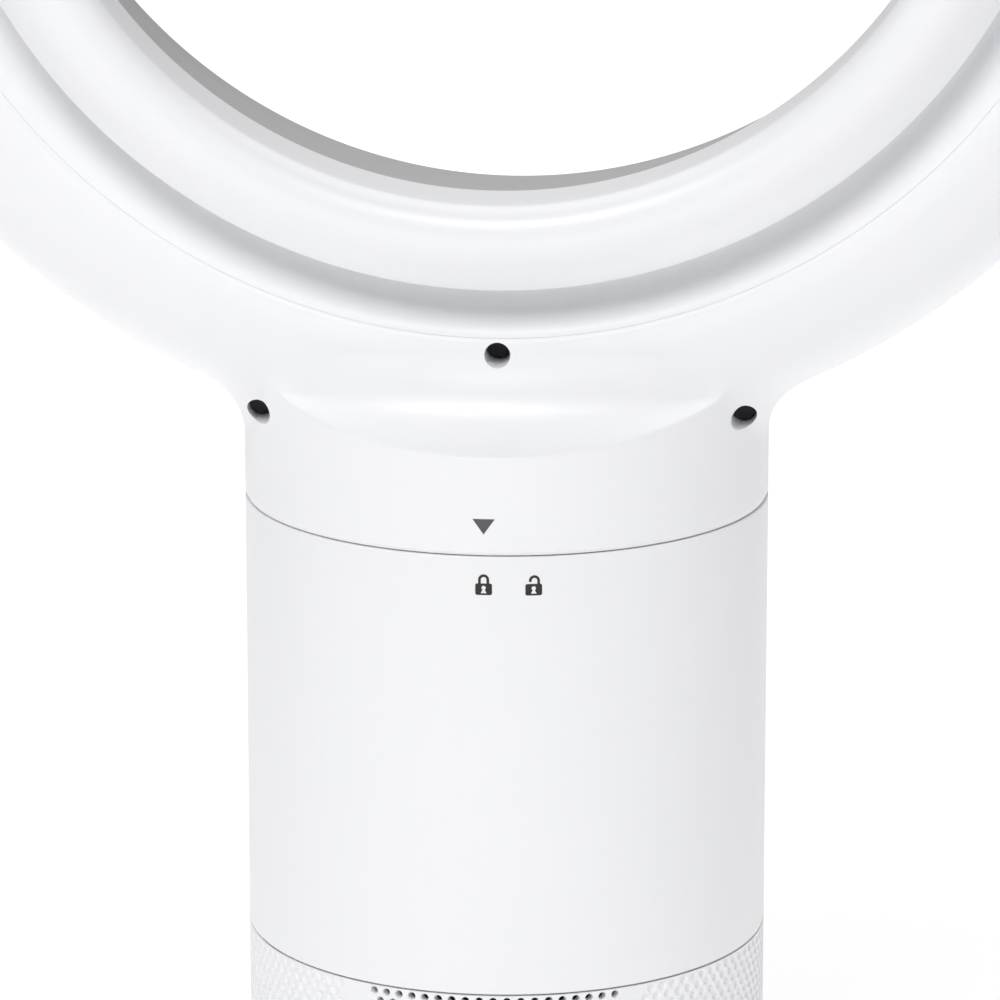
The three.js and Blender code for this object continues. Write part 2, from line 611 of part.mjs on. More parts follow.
// The collar: a cylinder that rises from the seam and rounds outwards into the ring's underside.
function collarSolid(radius, fillet, low) {
  const rows = 8;
  const positions = [];
  const corners = [];
  const level = (theta, step) => {
    const depth = radius * Math.cos(theta);
    const side = Math.min(1, Math.abs(Math.sin(theta)) * 1.6 - 0.5);
    const round = Math.max(0.2, side) * fillet;
    const reach = Math.min(Math.abs(depth), 36) * Math.sign(depth || 1);
    const under = across(shellOutside, reach);
    const sideways = radius * Math.sin(theta);
    const meet = ringCentre - Math.sqrt(Math.max(under ** 2 - sideways ** 2, 1));
    const start = Math.min(meet, seamHeight + collarTop) - round * 0.9;
    if (step === 0) return [radius, low];
    if (step === rows) return [radius + (side > 0 ? round * 1.05 : 0), start + round * 1.6];
    const turn = ((step - 1) / (rows - 2)) * 60 * degrees;
    return [radius + round * (1 - Math.cos(turn)), start + round * Math.sin(turn)];
  };
  for (let step = 0; step <= rows; step += 1) {
    for (let k = 0; k < bodySides; k += 1) {
      const theta = (2 * Math.PI * k) / bodySides;
      const [reach, height] = level(theta, step);
      positions.push(reach * Math.sin(theta), reach * Math.cos(theta), height);
    }
  }
  const [bottom, top] = [positions.length / 3, positions.length / 3 + 1];
  positions.push(0, 0, low, 0, 0, seamHeight + collarTop);
  for (let step = 0; step < rows; step += 1) {
    for (let k = 0; k < bodySides; k += 1) {
      const next = (k + 1) % bodySides;
      const [a, b, c, d] = [step * bodySides + k, step * bodySides + next, (step + 1) * bodySides + next,
        (step + 1) * bodySides + k];
      corners.push(a, b, c, a, c, d);
      if (step === 0) corners.push(bottom, b, a);
      if (step === rows - 1) corners.push(top, d, c);
    }
  }
  const geometry = new THREE.BufferGeometry();
  geometry.setAttribute('position', new THREE.BufferAttribute(new Float32Array(positions), 3));
  geometry.setIndex(corners);
  return solid(geometry);
}

function makeRing() {
  const outerForm = ringTurned([...closedLoop([[0, ringFront + 0.6], ...shellOutside, [0, foldDepth]])]);
  const between = [foldRadius, coveRadius];
  const coveOutline = shaped(coveShares, between, [foldDepth, bodyRadius]);
  const browOutline = shaped(browShares, between, [0, -bodyRadius]);
  const beyond = bodyRadius + 25;
  const coveInner = coveRadius + 3;
  const cove = ringTurned([[0, beyond], [coveRadius, beyond], ...coveOutline, [foldRadius + 3, foldDepth + 0.2],
    [0, foldDepth + 0.2]]);
  const browInner = browOutline[browOutline.length - 1][1];
  const brow = ringTurned([[0, -beyond], [coveRadius, -beyond], ...browOutline, [0, browInner]]);
  const outside = join(cut(collarSolid(bodyRadius, collarFillet, seamHeight), cove, brow), outerForm);
  const hollow = ringTurned([[0, ringFront - 5], [throatEdge + gap, ringFront - 5], ...shellInside,
    [foldRadius - shellWall / 2, foldDepth + 22], [0, foldDepth + 22]]);
  const collarBore = disc(bodyInner, seamHeight - 5, seamHeight + 3 + gap);
  const duct = disc(skirtRadius + gap, seamHeight - 5, ringCentre - foldRadius + 5.6).intersect(
    cut(disc(bodyRadius, 0, ringCentre), ringTurned([[0, beyond], [coveInner, beyond], ...shaped(
      [[1.14, 0.53], [0.69, -0.12], [-0.27, -0.29]], between, [foldDepth, bodyRadius]), [0, foldDepth - 5]]),
    ringTurned([[0, -beyond], [coveInner, -beyond], ...shaped(
      [[1.14, 0.85], [0.545, 0.49], [-0.27, 0.49]], between, [0, -bodyRadius]), [0, -0.49 * bodyRadius]])));
  const bosses = [];
  const bores = [];
  const screwPlaces = [
    ['rear_screw', 0, seamHeight + rearScrewAboveSeam, rearWellMouth, rearBossLength],
    ['left_screw', -sideScrewX, seamHeight + sideScrewAboveSeam, sideWellMouth, sideBossLength],
    ['right_screw', sideScrewX, seamHeight + sideScrewAboveSeam, sideWellMouth, sideBossLength]];
  for (const [name, x, z, mouth, length] of screwPlaces) {
    bosses.push(drum(screwBossRadius, length).translate([x, mouth - 1.5 - length / 2, z]));
    bores.push(drum(screwHoleRadius, 20).translate([x, mouth, z]));
    bores.push(drum(screwRadius + gap, 16).translate([x, mouth - 12, z]));
    const head = drum(screwHeadRadius, screwHeadHeight).translate([x, mouth - 10 + gap + screwHeadHeight / 2, z]);
    const shank = drum(screwRadius, screwLength - 3, 12).translate([x, mouth - 10 + gap - (screwLength - 3) / 2, z]);
    place(name, join(head, shank), 'steel');
  }
  const trimmedBosses = join(...bosses).intersect(outside);
  const shell = cut(join(cut(outside, hollow, collarBore, duct), trimmedBosses), ...bores);
  place('ring_shell', shell, 'shell_white');

  // The inner wall that the air runs along, from the slot to the front edge, with ribs that stand in the slot.
  const throat = shaped([[1, 0.0568], [0.5417, 0.3977], [0.125, 0.7727], [0, 0.9773]],
    [throatRearRadius, throatFrontRadius], ringDepth);
  const throatBack = throat.map(([radius, depth]) => [radius + throatWall, depth]).reverse();
  const wall = ringTurned(closedLoop([[throatEdge - 2.1, ringFront + 0.9], ...throat, ...throatBack.slice(0, -1),
    [throatEdge, ringFront + 4.6], [throatEdge, ringFront + 0.4]]));
  const ribInner = throatRearRadius - slotWidth + 0.5;
  const ribs = Array.from({ length: ribCount }, (_, k) => block(ribWidth, ribLength, throatRearRadius + 1.1 - ribInner)
    .translate([0, foldDepth - 7, -(ribInner + throatRearRadius + 1.1) / 2])
    .rotate([0, (360 * (k + 0.5)) / ribCount, 0]).translate([0, 0, ringCentre]));
  place('throat_wall', join(wall, ...ribs), 'throat_grey');

  // The rounded lip that covers the slot from behind, with the groove and the recessed band outside it.
  const lipInner = lipRadius + lipWall;
  const lipOutline = shaped([[0, -0.9231], [0, 0.4615], [0.1167, 0.8769], [0.3611, 1], [0.6611, 0.8308],
    [1, 0.1846], [1.0222, -0.1538], [0.9, -0.1538], [0.5722, 0.6615], [0.3389, 0.8]],
  [lipRadius, grooveRadius], [foldDepth, lipRear]);
  const lipEnd = [[lipInner + 0.4, lipRear - 7], [lipInner, lipRear - 25]];
  place('rear_lip', ringTurned(closedLoop([...lipOutline, ...lipEnd])), 'shell_white');
  const bandOuter = foldRadius - shellWall / 2 - gap;
  const bandMiddle = grooveRadius + 4.5;
  const band = ringTurned(closedLoop([
    [grooveRadius - 2, foldDepth - 2.3], [grooveRadius + 1, foldDepth - 2.3], [bandMiddle, foldDepth - 3.4],
    [bandOuter, foldDepth - 0.4], [bandOuter, foldDepth - 2.8], [bandMiddle, foldDepth - 5.8],
    [grooveRadius - 2, foldDepth - 4.6]]));
  place('groove_band', band, 'shell_white');
}

makeFoot();
makeDrive();
makeBase();
makeControls();
makeBody();
makeBlower();
makeBayonet();
makeRing();

export default fan;
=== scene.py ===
# %% [markdown]
# # A bladeless table fan, finished
# The imported model brings every piece at its true size and place. This lesson gives the pieces that show
# their real surfaces: moulded white plastic with soft edges, a perforated air inlet, printed marks, and the
# rounded lip that hides the air slot. It starts by loading the frame.

# %% Load the frame
import json
import math
import bmesh
import bpy
import numpy as np
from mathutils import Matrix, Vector
from mathutils.geometry import tessellate_polygon

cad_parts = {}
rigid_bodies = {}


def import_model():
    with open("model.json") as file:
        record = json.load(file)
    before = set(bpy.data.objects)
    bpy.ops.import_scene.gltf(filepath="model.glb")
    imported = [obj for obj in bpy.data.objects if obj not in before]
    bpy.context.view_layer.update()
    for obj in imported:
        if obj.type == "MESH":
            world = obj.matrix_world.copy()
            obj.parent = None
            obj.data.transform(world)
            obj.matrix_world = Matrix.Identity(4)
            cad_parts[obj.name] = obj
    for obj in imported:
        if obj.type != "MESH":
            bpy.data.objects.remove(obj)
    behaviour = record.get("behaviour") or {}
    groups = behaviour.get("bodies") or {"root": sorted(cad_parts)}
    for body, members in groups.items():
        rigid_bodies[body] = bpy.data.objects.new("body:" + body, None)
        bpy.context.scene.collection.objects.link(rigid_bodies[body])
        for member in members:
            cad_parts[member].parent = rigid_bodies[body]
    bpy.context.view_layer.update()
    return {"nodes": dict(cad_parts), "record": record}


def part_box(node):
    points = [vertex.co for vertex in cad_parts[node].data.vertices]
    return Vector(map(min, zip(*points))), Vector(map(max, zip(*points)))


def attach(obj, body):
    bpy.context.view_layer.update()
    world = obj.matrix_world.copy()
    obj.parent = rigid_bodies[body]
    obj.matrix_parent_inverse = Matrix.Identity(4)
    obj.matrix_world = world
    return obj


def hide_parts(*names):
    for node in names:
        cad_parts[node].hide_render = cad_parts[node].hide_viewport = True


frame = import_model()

MM = 0.001

# %% [markdown]
# ## Sizes
# The seam between ring and body, the ring's centre and the pieces' heights come from the frame's own boxes,
# so the looks follow the model. Only what the frame can't tell, such as a lip's curve, is written here,
# in millimetres.

# %% Sizes from the frame
def low_high(node):
    """The lowest and highest corners of a node, in millimetres."""
    low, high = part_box(node)
    return np.array(low) / MM, np.array(high) / MM


shell_low, shell_high = low_high("ring_shell")
SEAM = shell_low[2]
RING_RADIUS = (shell_high[0] - shell_low[0]) / 2
RING_CENTRE = shell_high[2] - RING_RADIUS
BODY_RADIUS = low_high("body_shell")[1][0]
FOLD_RADIUS = 125.6                       # where the ring's shell folds in to the groove band
GAP = 0.3                                 # between two mouldings that meet
TILT_AXIS, TILT_RADIUS = 142.0, 100.0     # height of the tilt axis, and the track's radius about it
print(f"seam {SEAM:.1f}, ring centre {RING_CENTRE:.1f}, ring radius {RING_RADIUS:.1f} mm")

# %% [markdown]
# ## Camera
# The photograph looks at the fan's back from a little above, through a long lens: the seam's curve and the
# ring's circles fit a camera 1.25 m away, pitched 14.7 degrees down. It stands 3.2 degrees to one side: the
# screw well, the throat and the lip are each off the body's middle by what that angle gives.

# %% Camera at the photograph's viewing angle
SWING = math.radians(3.2)
CAMERA_REACH, CAMERA_ASIDE, CAMERA_ABOVE_SEAM = 1249.3, 5.6, 324.2
CAMERA_AT = np.array([CAMERA_ASIDE - CAMERA_REACH * math.sin(SWING), CAMERA_REACH * math.cos(SWING),
                      SEAM + CAMERA_ABOVE_SEAM])
CAMERA_PITCH, CAMERA_YAW = math.radians(14.667), math.radians(0.19)
LENS_IN_PICTURE_WIDTHS = 6.131
lens = bpy.data.cameras.new("camera")
lens.sensor_width = 36
lens.lens = lens.sensor_width * LENS_IN_PICTURE_WIDTHS
lens.clip_end = 20
camera = bpy.data.objects.new("camera", lens)
camera.location = CAMERA_AT * MM
camera.rotation_euler = (math.pi / 2 - CAMERA_PITCH, 0, math.pi - CAMERA_YAW + SWING)
bpy.context.collection.objects.link(camera)
bpy.context.scene.camera = camera
print("camera at", CAMERA_AT.round(1), "mm")

# %% [markdown]
# ## Turning arrays into meshes
# Every new surface here is a grid: rows along a profile, columns around an axis. The arrays are worked out
# whole with numpy. A grid that closes both ways is a closed tube, the form of a moulded wall with an inside
# and an outside; one whose rows end on the axis is a solid.

# %% Grid helpers
SAME_POINT = 1e-7                         # metres


def make_mesh(name, points, faces):
    """A mesh object from an array of points in millimetres and a list or array of faces."""
    mesh = bpy.data.meshes.new(name)
    faces = faces if isinstance(faces, list) else faces.tolist()
    mesh.from_pydata((np.asarray(points) * MM).tolist(), [], faces)
    mesh.validate()
    piece = bpy.data.objects.new(name, mesh)
    bpy.context.collection.objects.link(piece)
    return piece


def grid_faces(rows, columns, wrap_rows, wrap_columns):
    """Quads between neighbours of a grid of rows x columns, closed round where asked."""
    r = np.arange(rows if wrap_rows else rows - 1)[:, None]
    c = np.arange(columns if wrap_columns else columns - 1)[None, :]
    r1, c1 = (r + 1) % rows, (c + 1) % columns
    corner = [a * columns + b for a, b in ((r, c), (r, c1), (r1, c1), (r1, c))]
    return np.stack(corner, axis=-1).reshape(-1, 4)


def outwards(piece):
    """Turns every face of a closed piece outwards, after merging doubled points."""
    work = bmesh.new()
    work.from_mesh(piece.data)
    bmesh.ops.remove_doubles(work, verts=work.verts, dist=SAME_POINT)
    bmesh.ops.recalc_face_normals(work, faces=work.faces)
    work.to_mesh(piece.data)
    work.free()
    return piece


def smooth(piece, angle=32):
    """Shades a piece smooth, with its edges past an angle left crisp."""
    piece.data.shade_smooth()
    piece.data.set_sharp_from_angle(angle=math.radians(angle))
    return piece


def rounded(points, radius, steps=5):
    """An outline with each corner replaced by a quadratic curve that starts a radius before it, or 0.45 of
    the side if that is shorter. One that starts on the axis keeps its two ends there."""
    points = np.asarray(points, float)
    before, after = np.roll(points, 1, 0) - points, np.roll(points, -1, 0) - points
    length_before = np.linalg.norm(before, axis=1, keepdims=True)
    length_after = np.linalg.norm(after, axis=1, keepdims=True)
    start = points + before * np.minimum(radius / length_before, 0.45)
    end = points + after * np.minimum(radius / length_after, 0.45)
    t = np.linspace(0, 1, steps)[None, :, None]
    curve = (1 - t) ** 2 * start[:, None] + 2 * t * (1 - t) * points[:, None] + t ** 2 * end[:, None]
    if points[0, 0] == 0:
        return np.vstack([points[0], curve[1:-1].reshape(-1, 2), points[-1]])
    return curve.reshape(-1, 2)


def smooth_profile(points, steps):
    """A smooth open curve through the points: a uniform Catmull-Rom spline, in whole arrays."""
    points = np.asarray(points, float)
    padded = np.vstack([2 * points[0] - points[1], points, 2 * points[-1] - points[-2]])
    t = np.linspace(0, 1, steps, endpoint=False)[None, :, None]
    p0, p1, p2, p3 = (padded[k:len(padded) - 3 + k, None] for k in range(4))
    curve = 0.5 * (2 * p1 + (p2 - p0) * t + (2 * p0 - 5 * p1 + 4 * p2 - p3) * t ** 2
                   + (3 * p1 - p0 - 3 * p2 + p3) * t ** 3)
    return np.vstack([curve.reshape(-1, 2), points[-1]])


def capped(name, rows, ends=None):
    """A tube of rows, closed at either end with a fan to a point: the end row's middle, if not given."""
    count, sides = rows.shape[:2]
    ends = rows[[0, -1]].mean(axis=1) if ends is None else ends
    points = np.vstack([rows.reshape(-1, 3), ends])
    quads = grid_faces(count, sides, False, True).tolist()
    ring = np.arange(sides)
    low = np.stack([np.full(sides, count * sides), np.roll(ring, -1), ring], 1)
    top = (count - 1) * sides
    high = np.stack([np.full(sides, count * sides + 1), top + ring, top + np.roll(ring, -1)], 1)
    return outwards(make_mesh(name, points, quads + low.tolist() + high.tolist()))


def turned(name, outline, sides, upright=True, centre=(0, 0)):
    """An outline of [radius, height] carried round the upright axis, or, lying down, one of [radius, depth
    towards the rear] carried round the ring's axis. One that starts and ends on the axis gives a solid, with
    a fan of triangles to either end. Any other is taken as closed, and gives a wall."""
    outline = np.asarray(outline, float)
    angle = np.linspace(0, 2 * np.pi, sides, endpoint=False)
    radius, along = outline[:, 0][:, None], outline[:, 1][:, None] * np.ones(sides)
    across, up = radius * np.sin(angle), -radius * np.cos(angle)
    if upright:
        points = np.stack([across + centre[0], up + centre[1], along], -1)
    else:
        points = np.stack([across, along, up + RING_CENTRE], -1)
    if outline[0, 0] == 0:
        return capped(name, points[1:-1], points[[0, -1], 0])
    return outwards(make_mesh(name, points.reshape(-1, 3), grid_faces(len(outline), sides, True, True)))


def combine(piece, tools, how="DIFFERENCE"):
    """Cuts the tools from a piece, or joins them to it, and keeps the result in the piece's own mesh."""
    for tool in tools:
        step = piece.modifiers.new("combine", "BOOLEAN")
        step.operation, step.object, step.solver = how, tool, "MANIFOLD"
        baked = bpy.data.meshes.new_from_object(piece.evaluated_get(bpy.context.evaluated_depsgraph_get()))
        piece.modifiers.remove(step)
        piece.data = baked
        bpy.data.objects.remove(tool)
    return piece


print("a grid of 3 x 4 that closes both ways has", len(grid_faces(3, 4, True, True)), "faces")

# %% [markdown]
# ## The ring's shell and its collar
# On the real fan this is one moulding: a hollow ring, thick at the back and thin at the front, that flows
# into a round collar, with a scooped ledge where the collar stands out behind the ring. A plain union of a
# ring and a tube would leave a hard crease, so the collar is worked out as a surface of two parameters,
# the direction around the body and the height. For each, a ray leaves the body's axis and stops where a
# soft blend of three forms ends: the ring, the collar's cylinder, and the ledge cut into it.

# %% Profiles of the ring, as radius from its axis and depth towards the rear
shell_curve = smooth_profile([
    (113, -49.4), (118, -48.4), (125.4, -41.4), (133, -32), (145, -13), (151, 0), (153, 9), (151.8, 17.5),
    (147.6, 26), (141, 32.6), (132, 37.2), (127.4, 38.2), (FOLD_RADIUS, 37.8)], 7)
shell_inner = [(124.4, 35.4), (131, 34.6), (139.6, 30.2), (147, 21.6), (150.2, 9.5), (147.2, -4),
               (131.4, -29.6), (116.8, -46.4), (113, -46.8)]

# The ledge is a cut along a circle about the ring's axis, to either side of the middle. The fillets are the
# widths of the blend between ring and collar: wide over the ledge, narrow at its ends, middling at the sides.
LEDGE_RADIUS, LEDGE_HALF_ANGLE = 146.5, math.radians(57)
MIDDLE_FILLET, END_FILLET, SIDE_FILLET, RIM_SOFTNESS = 28.0, 3.0, 11.0, 1.2
FILLET_REACH, SIDE_STARTS, SIDE_EASES_OVER = 46, 48, 6
LEDGE_END_SOFTNESS, RIM_EASES_OVER = 4.0, 3.5

# Above the fade radius the collar's cylinder dies away, so that only the ring is left there. The ring's
# field is raised a little, which sinks the collar's top under the ring's face, out of sight.
FADE_RADIUS, FADE_RATE = 136.0, 0.15
SUNK = 0.05

GRID_STEP, GRID_START, GRID_SHAPE = 0.25, np.array([120.0, -60.0]), (240, 480)


def distance_grid(curve):
    """Signed distances from a grid of [radius, depth] to an open curve, positive outside it."""
    counts = np.stack(np.meshgrid(*(np.arange(n) for n in GRID_SHAPE), indexing="ij"), -1)
    spots = counts * GRID_STEP + GRID_START
    start, along = curve[:-1], np.diff(curve, axis=0)
    away = spots[:, :, None] - start
    share = np.clip((away * along).sum(-1) / (along ** 2).sum(-1), 0, 1)
    gap = np.linalg.norm(away - share[..., None] * along, axis=-1)
    nearest = gap.argmin(-1)[..., None]
    turn = along[:, 0] * away[..., 1] - along[:, 1] * away[..., 0]
    picked, turned_by = (np.take_along_axis(values, nearest, -1)[..., 0] for values in (gap, turn))
    return np.where(turned_by < 0, picked, -picked)


def looked_up(grid, radius, depth):
    """The grid's value between its spots, by straight lines both ways."""
    u = np.clip((radius - GRID_START[0]) / GRID_STEP, 0, GRID_SHAPE[0] - 1.01)
    v = np.clip((depth - GRID_START[1]) / GRID_STEP, 0, GRID_SHAPE[1] - 1.01)
    i, j = u.astype(int), v.astype(int)
    u, v = u - i, v - j
    return ((grid[i, j] * (1 - u) + grid[i + 1, j] * u) * (1 - v)
            + (grid[i, j + 1] * (1 - u) + grid[i + 1, j + 1] * u) * v)


def soft_min(a, b, width):
    """The lower of two fields, rounded over a width where they cross: min(a, b) - w h (1 - h)."""
    h = np.clip(0.5 + 0.5 * (b - a) / width, 0, 1)
    return b + (a - b) * h - width * h * (1 - h)


ring_distance = distance_grid(shell_curve)


def eased(share):
    """A share from 0 to 1, eased at both ends."""
    share = np.clip(share, 0, 1)
    return share ** 2 * (3 - 2 * share)


def moulding(x, y, z):
    """Below zero inside the moulding: the ring, softly joined to the collar less its ledge."""
    radius = np.hypot(x, z - RING_CENTRE)
    ring = looked_up(ring_distance, radius, y) + SUNK
    side = np.abs(x)
    wall = np.hypot(x, y) - BODY_RADIUS
    fade = FADE_RATE * np.maximum(0, FADE_RADIUS - radius) ** 2
    turn = np.arctan2(side, np.abs(y))
    ledge = soft_min(LEDGE_RADIUS - radius, (LEDGE_HALF_ANGLE - turn) * BODY_RADIUS, LEDGE_END_SOFTNESS)
    collar = -soft_min(-wall, -ledge, RIM_SOFTNESS) + fade
    above_rim = eased((LEDGE_RADIUS + RIM_EASES_OVER - radius) / RIM_EASES_OVER)
    near_middle = np.clip(1 - (side / FILLET_REACH) ** 2, 0, 1)
    width = (END_FILLET + (MIDDLE_FILLET - END_FILLET) * above_rim * near_middle
             + (SIDE_FILLET - END_FILLET) * eased((side - SIDE_STARTS) / SIDE_EASES_OVER))
    return soft_min(ring, collar, width)


print("distance grid:", ring_distance.shape, "spots", GRID_STEP, "mm apart")

# %% [markdown]
# ### Tracing the collar
# The blend is only a field of distances so far. Rays from the body's axis find where it changes sign, all of
# them at once, and the spots they stop at are the rows and columns of the collar's surface. The real collar
# takes this form from its mould, and plastic fills a soft blend more evenly than a sharp crease.

# %% Trace the collar's surface
COLLAR_SIDES, ROWS_BELOW, ROWS_ABOVE = 288, 46, 64
TOP_RADIUS = 126.6
NEAREST, FARTHEST, RAY_STEPS, HALVINGS = 22, 112, 91, 18
SEAM_DRAWN_IN, TOP_SINKS = 0.45, np.array([0.03, 0.12, 0.6])


def collar_surface():
    """Rows of points from the seam up to a circle of the ring. Heights run from the seam to the ledge's rim
    and on to that circle, closer together near the rim. The distance from the axis is where the field along
    the ray changes sign, found by halving. The lowest row is drawn in for a crisp edge at the seam, and the
    top three sink under the ring's face."""
    theta = np.linspace(0, 2 * np.pi, COLLAR_SIDES, endpoint=False)[None, :]
    rim = RING_CENTRE - np.sqrt(LEDGE_RADIUS ** 2 - (BODY_RADIUS * np.sin(theta)) ** 2)
    top = RING_CENTRE - np.sqrt(TOP_RADIUS ** 2 - (BODY_RADIUS * np.sin(theta)) ** 2)
    below = SEAM + (rim - SEAM) * np.sin(np.linspace(0, 1, ROWS_BELOW) * np.pi / 2)[:, None]
    share = np.linspace(0, 1, ROWS_ABOVE + 1)[1:, None] ** 1.5
    height = np.vstack([below, rim + (top - rim) * share])
    steps = np.linspace(NEAREST, FARTHEST, RAY_STEPS)[:, None, None]
    sx, cy = np.sin(theta) * np.ones_like(height), np.cos(theta) * np.ones_like(height)
    outside = moulding(steps * sx, steps * cy, height[None]) > 0
    first = np.argmax(outside, axis=0)
    far = steps[first, 0, 0]
    near = far - (steps[1, 0, 0] - steps[0, 0, 0])
    for _ in range(HALVINGS):
        middle = (near + far) / 2
        out = moulding(middle * sx, middle * cy, height) > 0
        far, near = np.where(out, middle, far), np.where(out, near, middle)
    reach = (near + far) / 2
    reach[0] -= SEAM_DRAWN_IN
    reach[-3:] -= TOP_SINKS[:, None]
    return np.stack([reach * sx, reach * cy, height], -1)


collar_points = collar_surface()
print("collar:", collar_points.shape[0], "rows of", collar_points.shape[1], "points")

# %% [markdown]
# ### The screws' wells
# Three screws show at the ring's back, and are taken to hold its parts together. Each sits at the bottom of
# a deep round well, so that a driver reaches it and the eye sees only a dark spot. A bar is cut from the
# moulding for each well, down to the underside of the screw's head, and a thinner one for its shank.

# %% Screw wells, and the shell put together
SCREWS = ("rear_screw", "left_screw", "right_screw")
WELL_RADIUS, HEAD_HEIGHT, SHANK_RADIUS = 2.65, 2.0, 1.6
BEHIND_ALL = 80                           # a depth behind everything, where a cutting bar ends
COLLAR_BORE, BORE_DEPTH = 52.8, 3.6       # the recess in the collar's foot, over the body's opening


def rod(name, radius, start, end, x, z, sides=40):
    """A round bar along the depth axis."""
    angle = np.linspace(0, 2 * np.pi, sides, endpoint=False)
    rows = [np.stack([x + radius * np.sin(angle), np.full(sides, y), z + radius * np.cos(angle)], 1)
            for y in (start, end)]
    return capped(name, np.array(rows))


def screw_place(name):
    """The tools for one screw: a well that stops under the screw's head, and a hole for its shank."""
    low, high = low_high(name)
    x, _, z = (low + high) / 2
    return [rod("well", WELL_RADIUS, high[1] - HEAD_HEIGHT - GAP, BEHIND_ALL, x, z, 48),
            rod("shank_hole", SHANK_RADIUS + GAP / 2, low[1] - GAP, high[1], x, z, 24)]


ring_shell = turned("ring_moulding", np.vstack([shell_curve, shell_inner]), 360, upright=False)
collar = capped("collar", collar_points)
bore_low, bore_top = SEAM - 5, SEAM + BORE_DEPTH
bore = turned("bore", [(0, bore_low), (COLLAR_BORE, bore_low), (COLLAR_BORE, bore_top), (0, bore_top)], 128)
collar = combine(collar, [bore])
ring_shell = combine(ring_shell, [collar], "UNION")
ring_shell = combine(ring_shell, [tool for name in SCREWS for tool in screw_place(name)])
smooth(ring_shell, 30)
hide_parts("ring_shell")
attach(ring_shell, "ring")
print("ring moulding:", len(ring_shell.data.polygons), "faces")

# %% [markdown]
# ## The lip, the groove and the throat
# Air leaves a slot hidden under the rear lip, so the lip is a soft hook: it rounds over at the back and runs
# forward a little inside the throat. Outside it lies a narrow groove, then a band that slopes up to the
# shell's fold. Each is one outline carried round the ring's axis, the way a turned tool would make it.

# %% Rear lip, groove band and throat wall
lip_outside = smooth_profile([(96.5, 40.2), (96.5, 43), (96.7, 46), (98.2, 49.2), (101, 50.8), (104.4, 50.7),
                              (108.4, 48.6), (111.6, 45.3), (113.6, 42.6), (114.6, 41.0)], 8)
lip_under = [(115.0, 40.4), (115.0, 36.2), (112.8, 36.2), (106.8, 46.2), (102.6, 48.2), (98.6, 44),
             (98, 26.2), (97.4, 26.2)]
rear_lip = smooth(turned("rear_lip_moulding", np.vstack([lip_outside, lip_under]), 384, upright=False), 30)

band_face = smooth_profile([(114.5, 33.2), (115.3, 31.7), (117.4, 31.3), (119.6, 32.8), (122.2, 35.6),
                            (124.2, 37.2), (125.52, 37.8)], 6)
band_back = [(124.32, 35.3), (119.6, 30.4), (116, 29.3), (112.4, 32.6)]
band_outline = np.vstack([[(112.4, 35.8), (114.4, 35.8)], band_face, band_back])
groove_band = smooth(turned("groove_band_moulding", band_outline, 384, upright=False), 25)

throat_curve = smooth_profile([(112.9, -49.4), (111.2, -49.0), (109.6, -47.4), (109, -45), (106.9, -30),
                               (104.6, -15), (102.6, 1), (100.7, 18), (99.5, 35.8)], 7)
throat_back = [(101.6, 36), (102.8, 18), (106.8, -15), (111.2, -45), (112.9, -45.4)]
throat_outline = np.vstack([throat_curve, throat_back])
throat_wall = smooth(turned("throat_moulding", throat_outline, 384, upright=False), 40)

for piece, node, slot in ((rear_lip, "rear_lip", "shell_white"), (groove_band, "groove_band", "shell_white"),
                          (throat_wall, "throat_wall", "throat_grey")):
    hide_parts(node)
    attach(piece, "ring")
    print(piece.name + ":", len(piece.data.polygons), "faces")

# %% [markdown]
# ## The body and its base
# The body is a plain moulded cylinder, so it is a closed outline with tiny rounded corners turned about the
# upright axis: the corners catch the light, and make the seams read as seams. The joint between body and
# base is a curved cut, because the body slides on the base along a cylinder about the tilt axis.

# %% Body shell, sled and base shell
WALL, BASE_WALL, SLED_WALL = 2.2, 2.4, 2.5
BASE_TOP = 62
BEYOND_SIDES = 90                         # half the length of the drum that cuts the tilt joint
CUT_INNER, CUT_OUTER = 48, 60             # radii between which a tool cuts through the base's wall
SEAM_CORNER = 0.5                         # an edge at a seam is eased over this length
SLED_FROM, HOLLOW_FROM, HOLLOW_TO = 30, 20, 90     # heights clear below and above the finished sled


def tilt_drum(radius):
    """A cylinder about the tilt axis: rows are its two rims, either side of the middle plane."""
    angle = np.linspace(0, 2 * np.pi, 360, endpoint=False)
    rim = np.stack([np.zeros_like(angle), radius * np.sin(angle), TILT_AXIS + radius * np.cos(angle)], 1)
    return capped("tilt_drum", np.stack([rim - [BEYOND_SIDES, 0, 0], rim + [BEYOND_SIDES, 0, 0]]))


def can(outer, wall, low, high):
    """The outline of a plain cylindrical wall with rounded corners."""
    return rounded([(outer - wall, low), (outer, low), (outer, high), (outer - wall, high)], SEAM_CORNER, 4)


body_low, body_high = low_high("body_shell")
body_shell = smooth(turned("body_moulding", can(BODY_RADIUS, WALL, body_low[2], body_high[2]), 256), 30)
grille_low, grille_high = low_high("inlet_grille")
sled_top = low_high("tilt_sled")[1][2]
plug = [(0, SLED_FROM), (BODY_RADIUS, SLED_FROM), (BODY_RADIUS, sled_top), (0, sled_top)]
tilt_sled = turned("sled_moulding", rounded(plug, SEAM_CORNER, 4), 256)
tilt_sled = combine(tilt_sled, [tilt_drum(TILT_RADIUS)], "INTERSECT")
inner_radius = BODY_RADIUS - WALL
hollow_outline = [(0, HOLLOW_FROM), (inner_radius, HOLLOW_FROM), (inner_radius, HOLLOW_TO), (0, HOLLOW_TO)]
hollow = combine(turned("hollow", hollow_outline, 192), [tilt_drum(TILT_RADIUS - SLED_WALL)], "INTERSECT")
tilt_sled = smooth(combine(tilt_sled, [hollow]), 30)

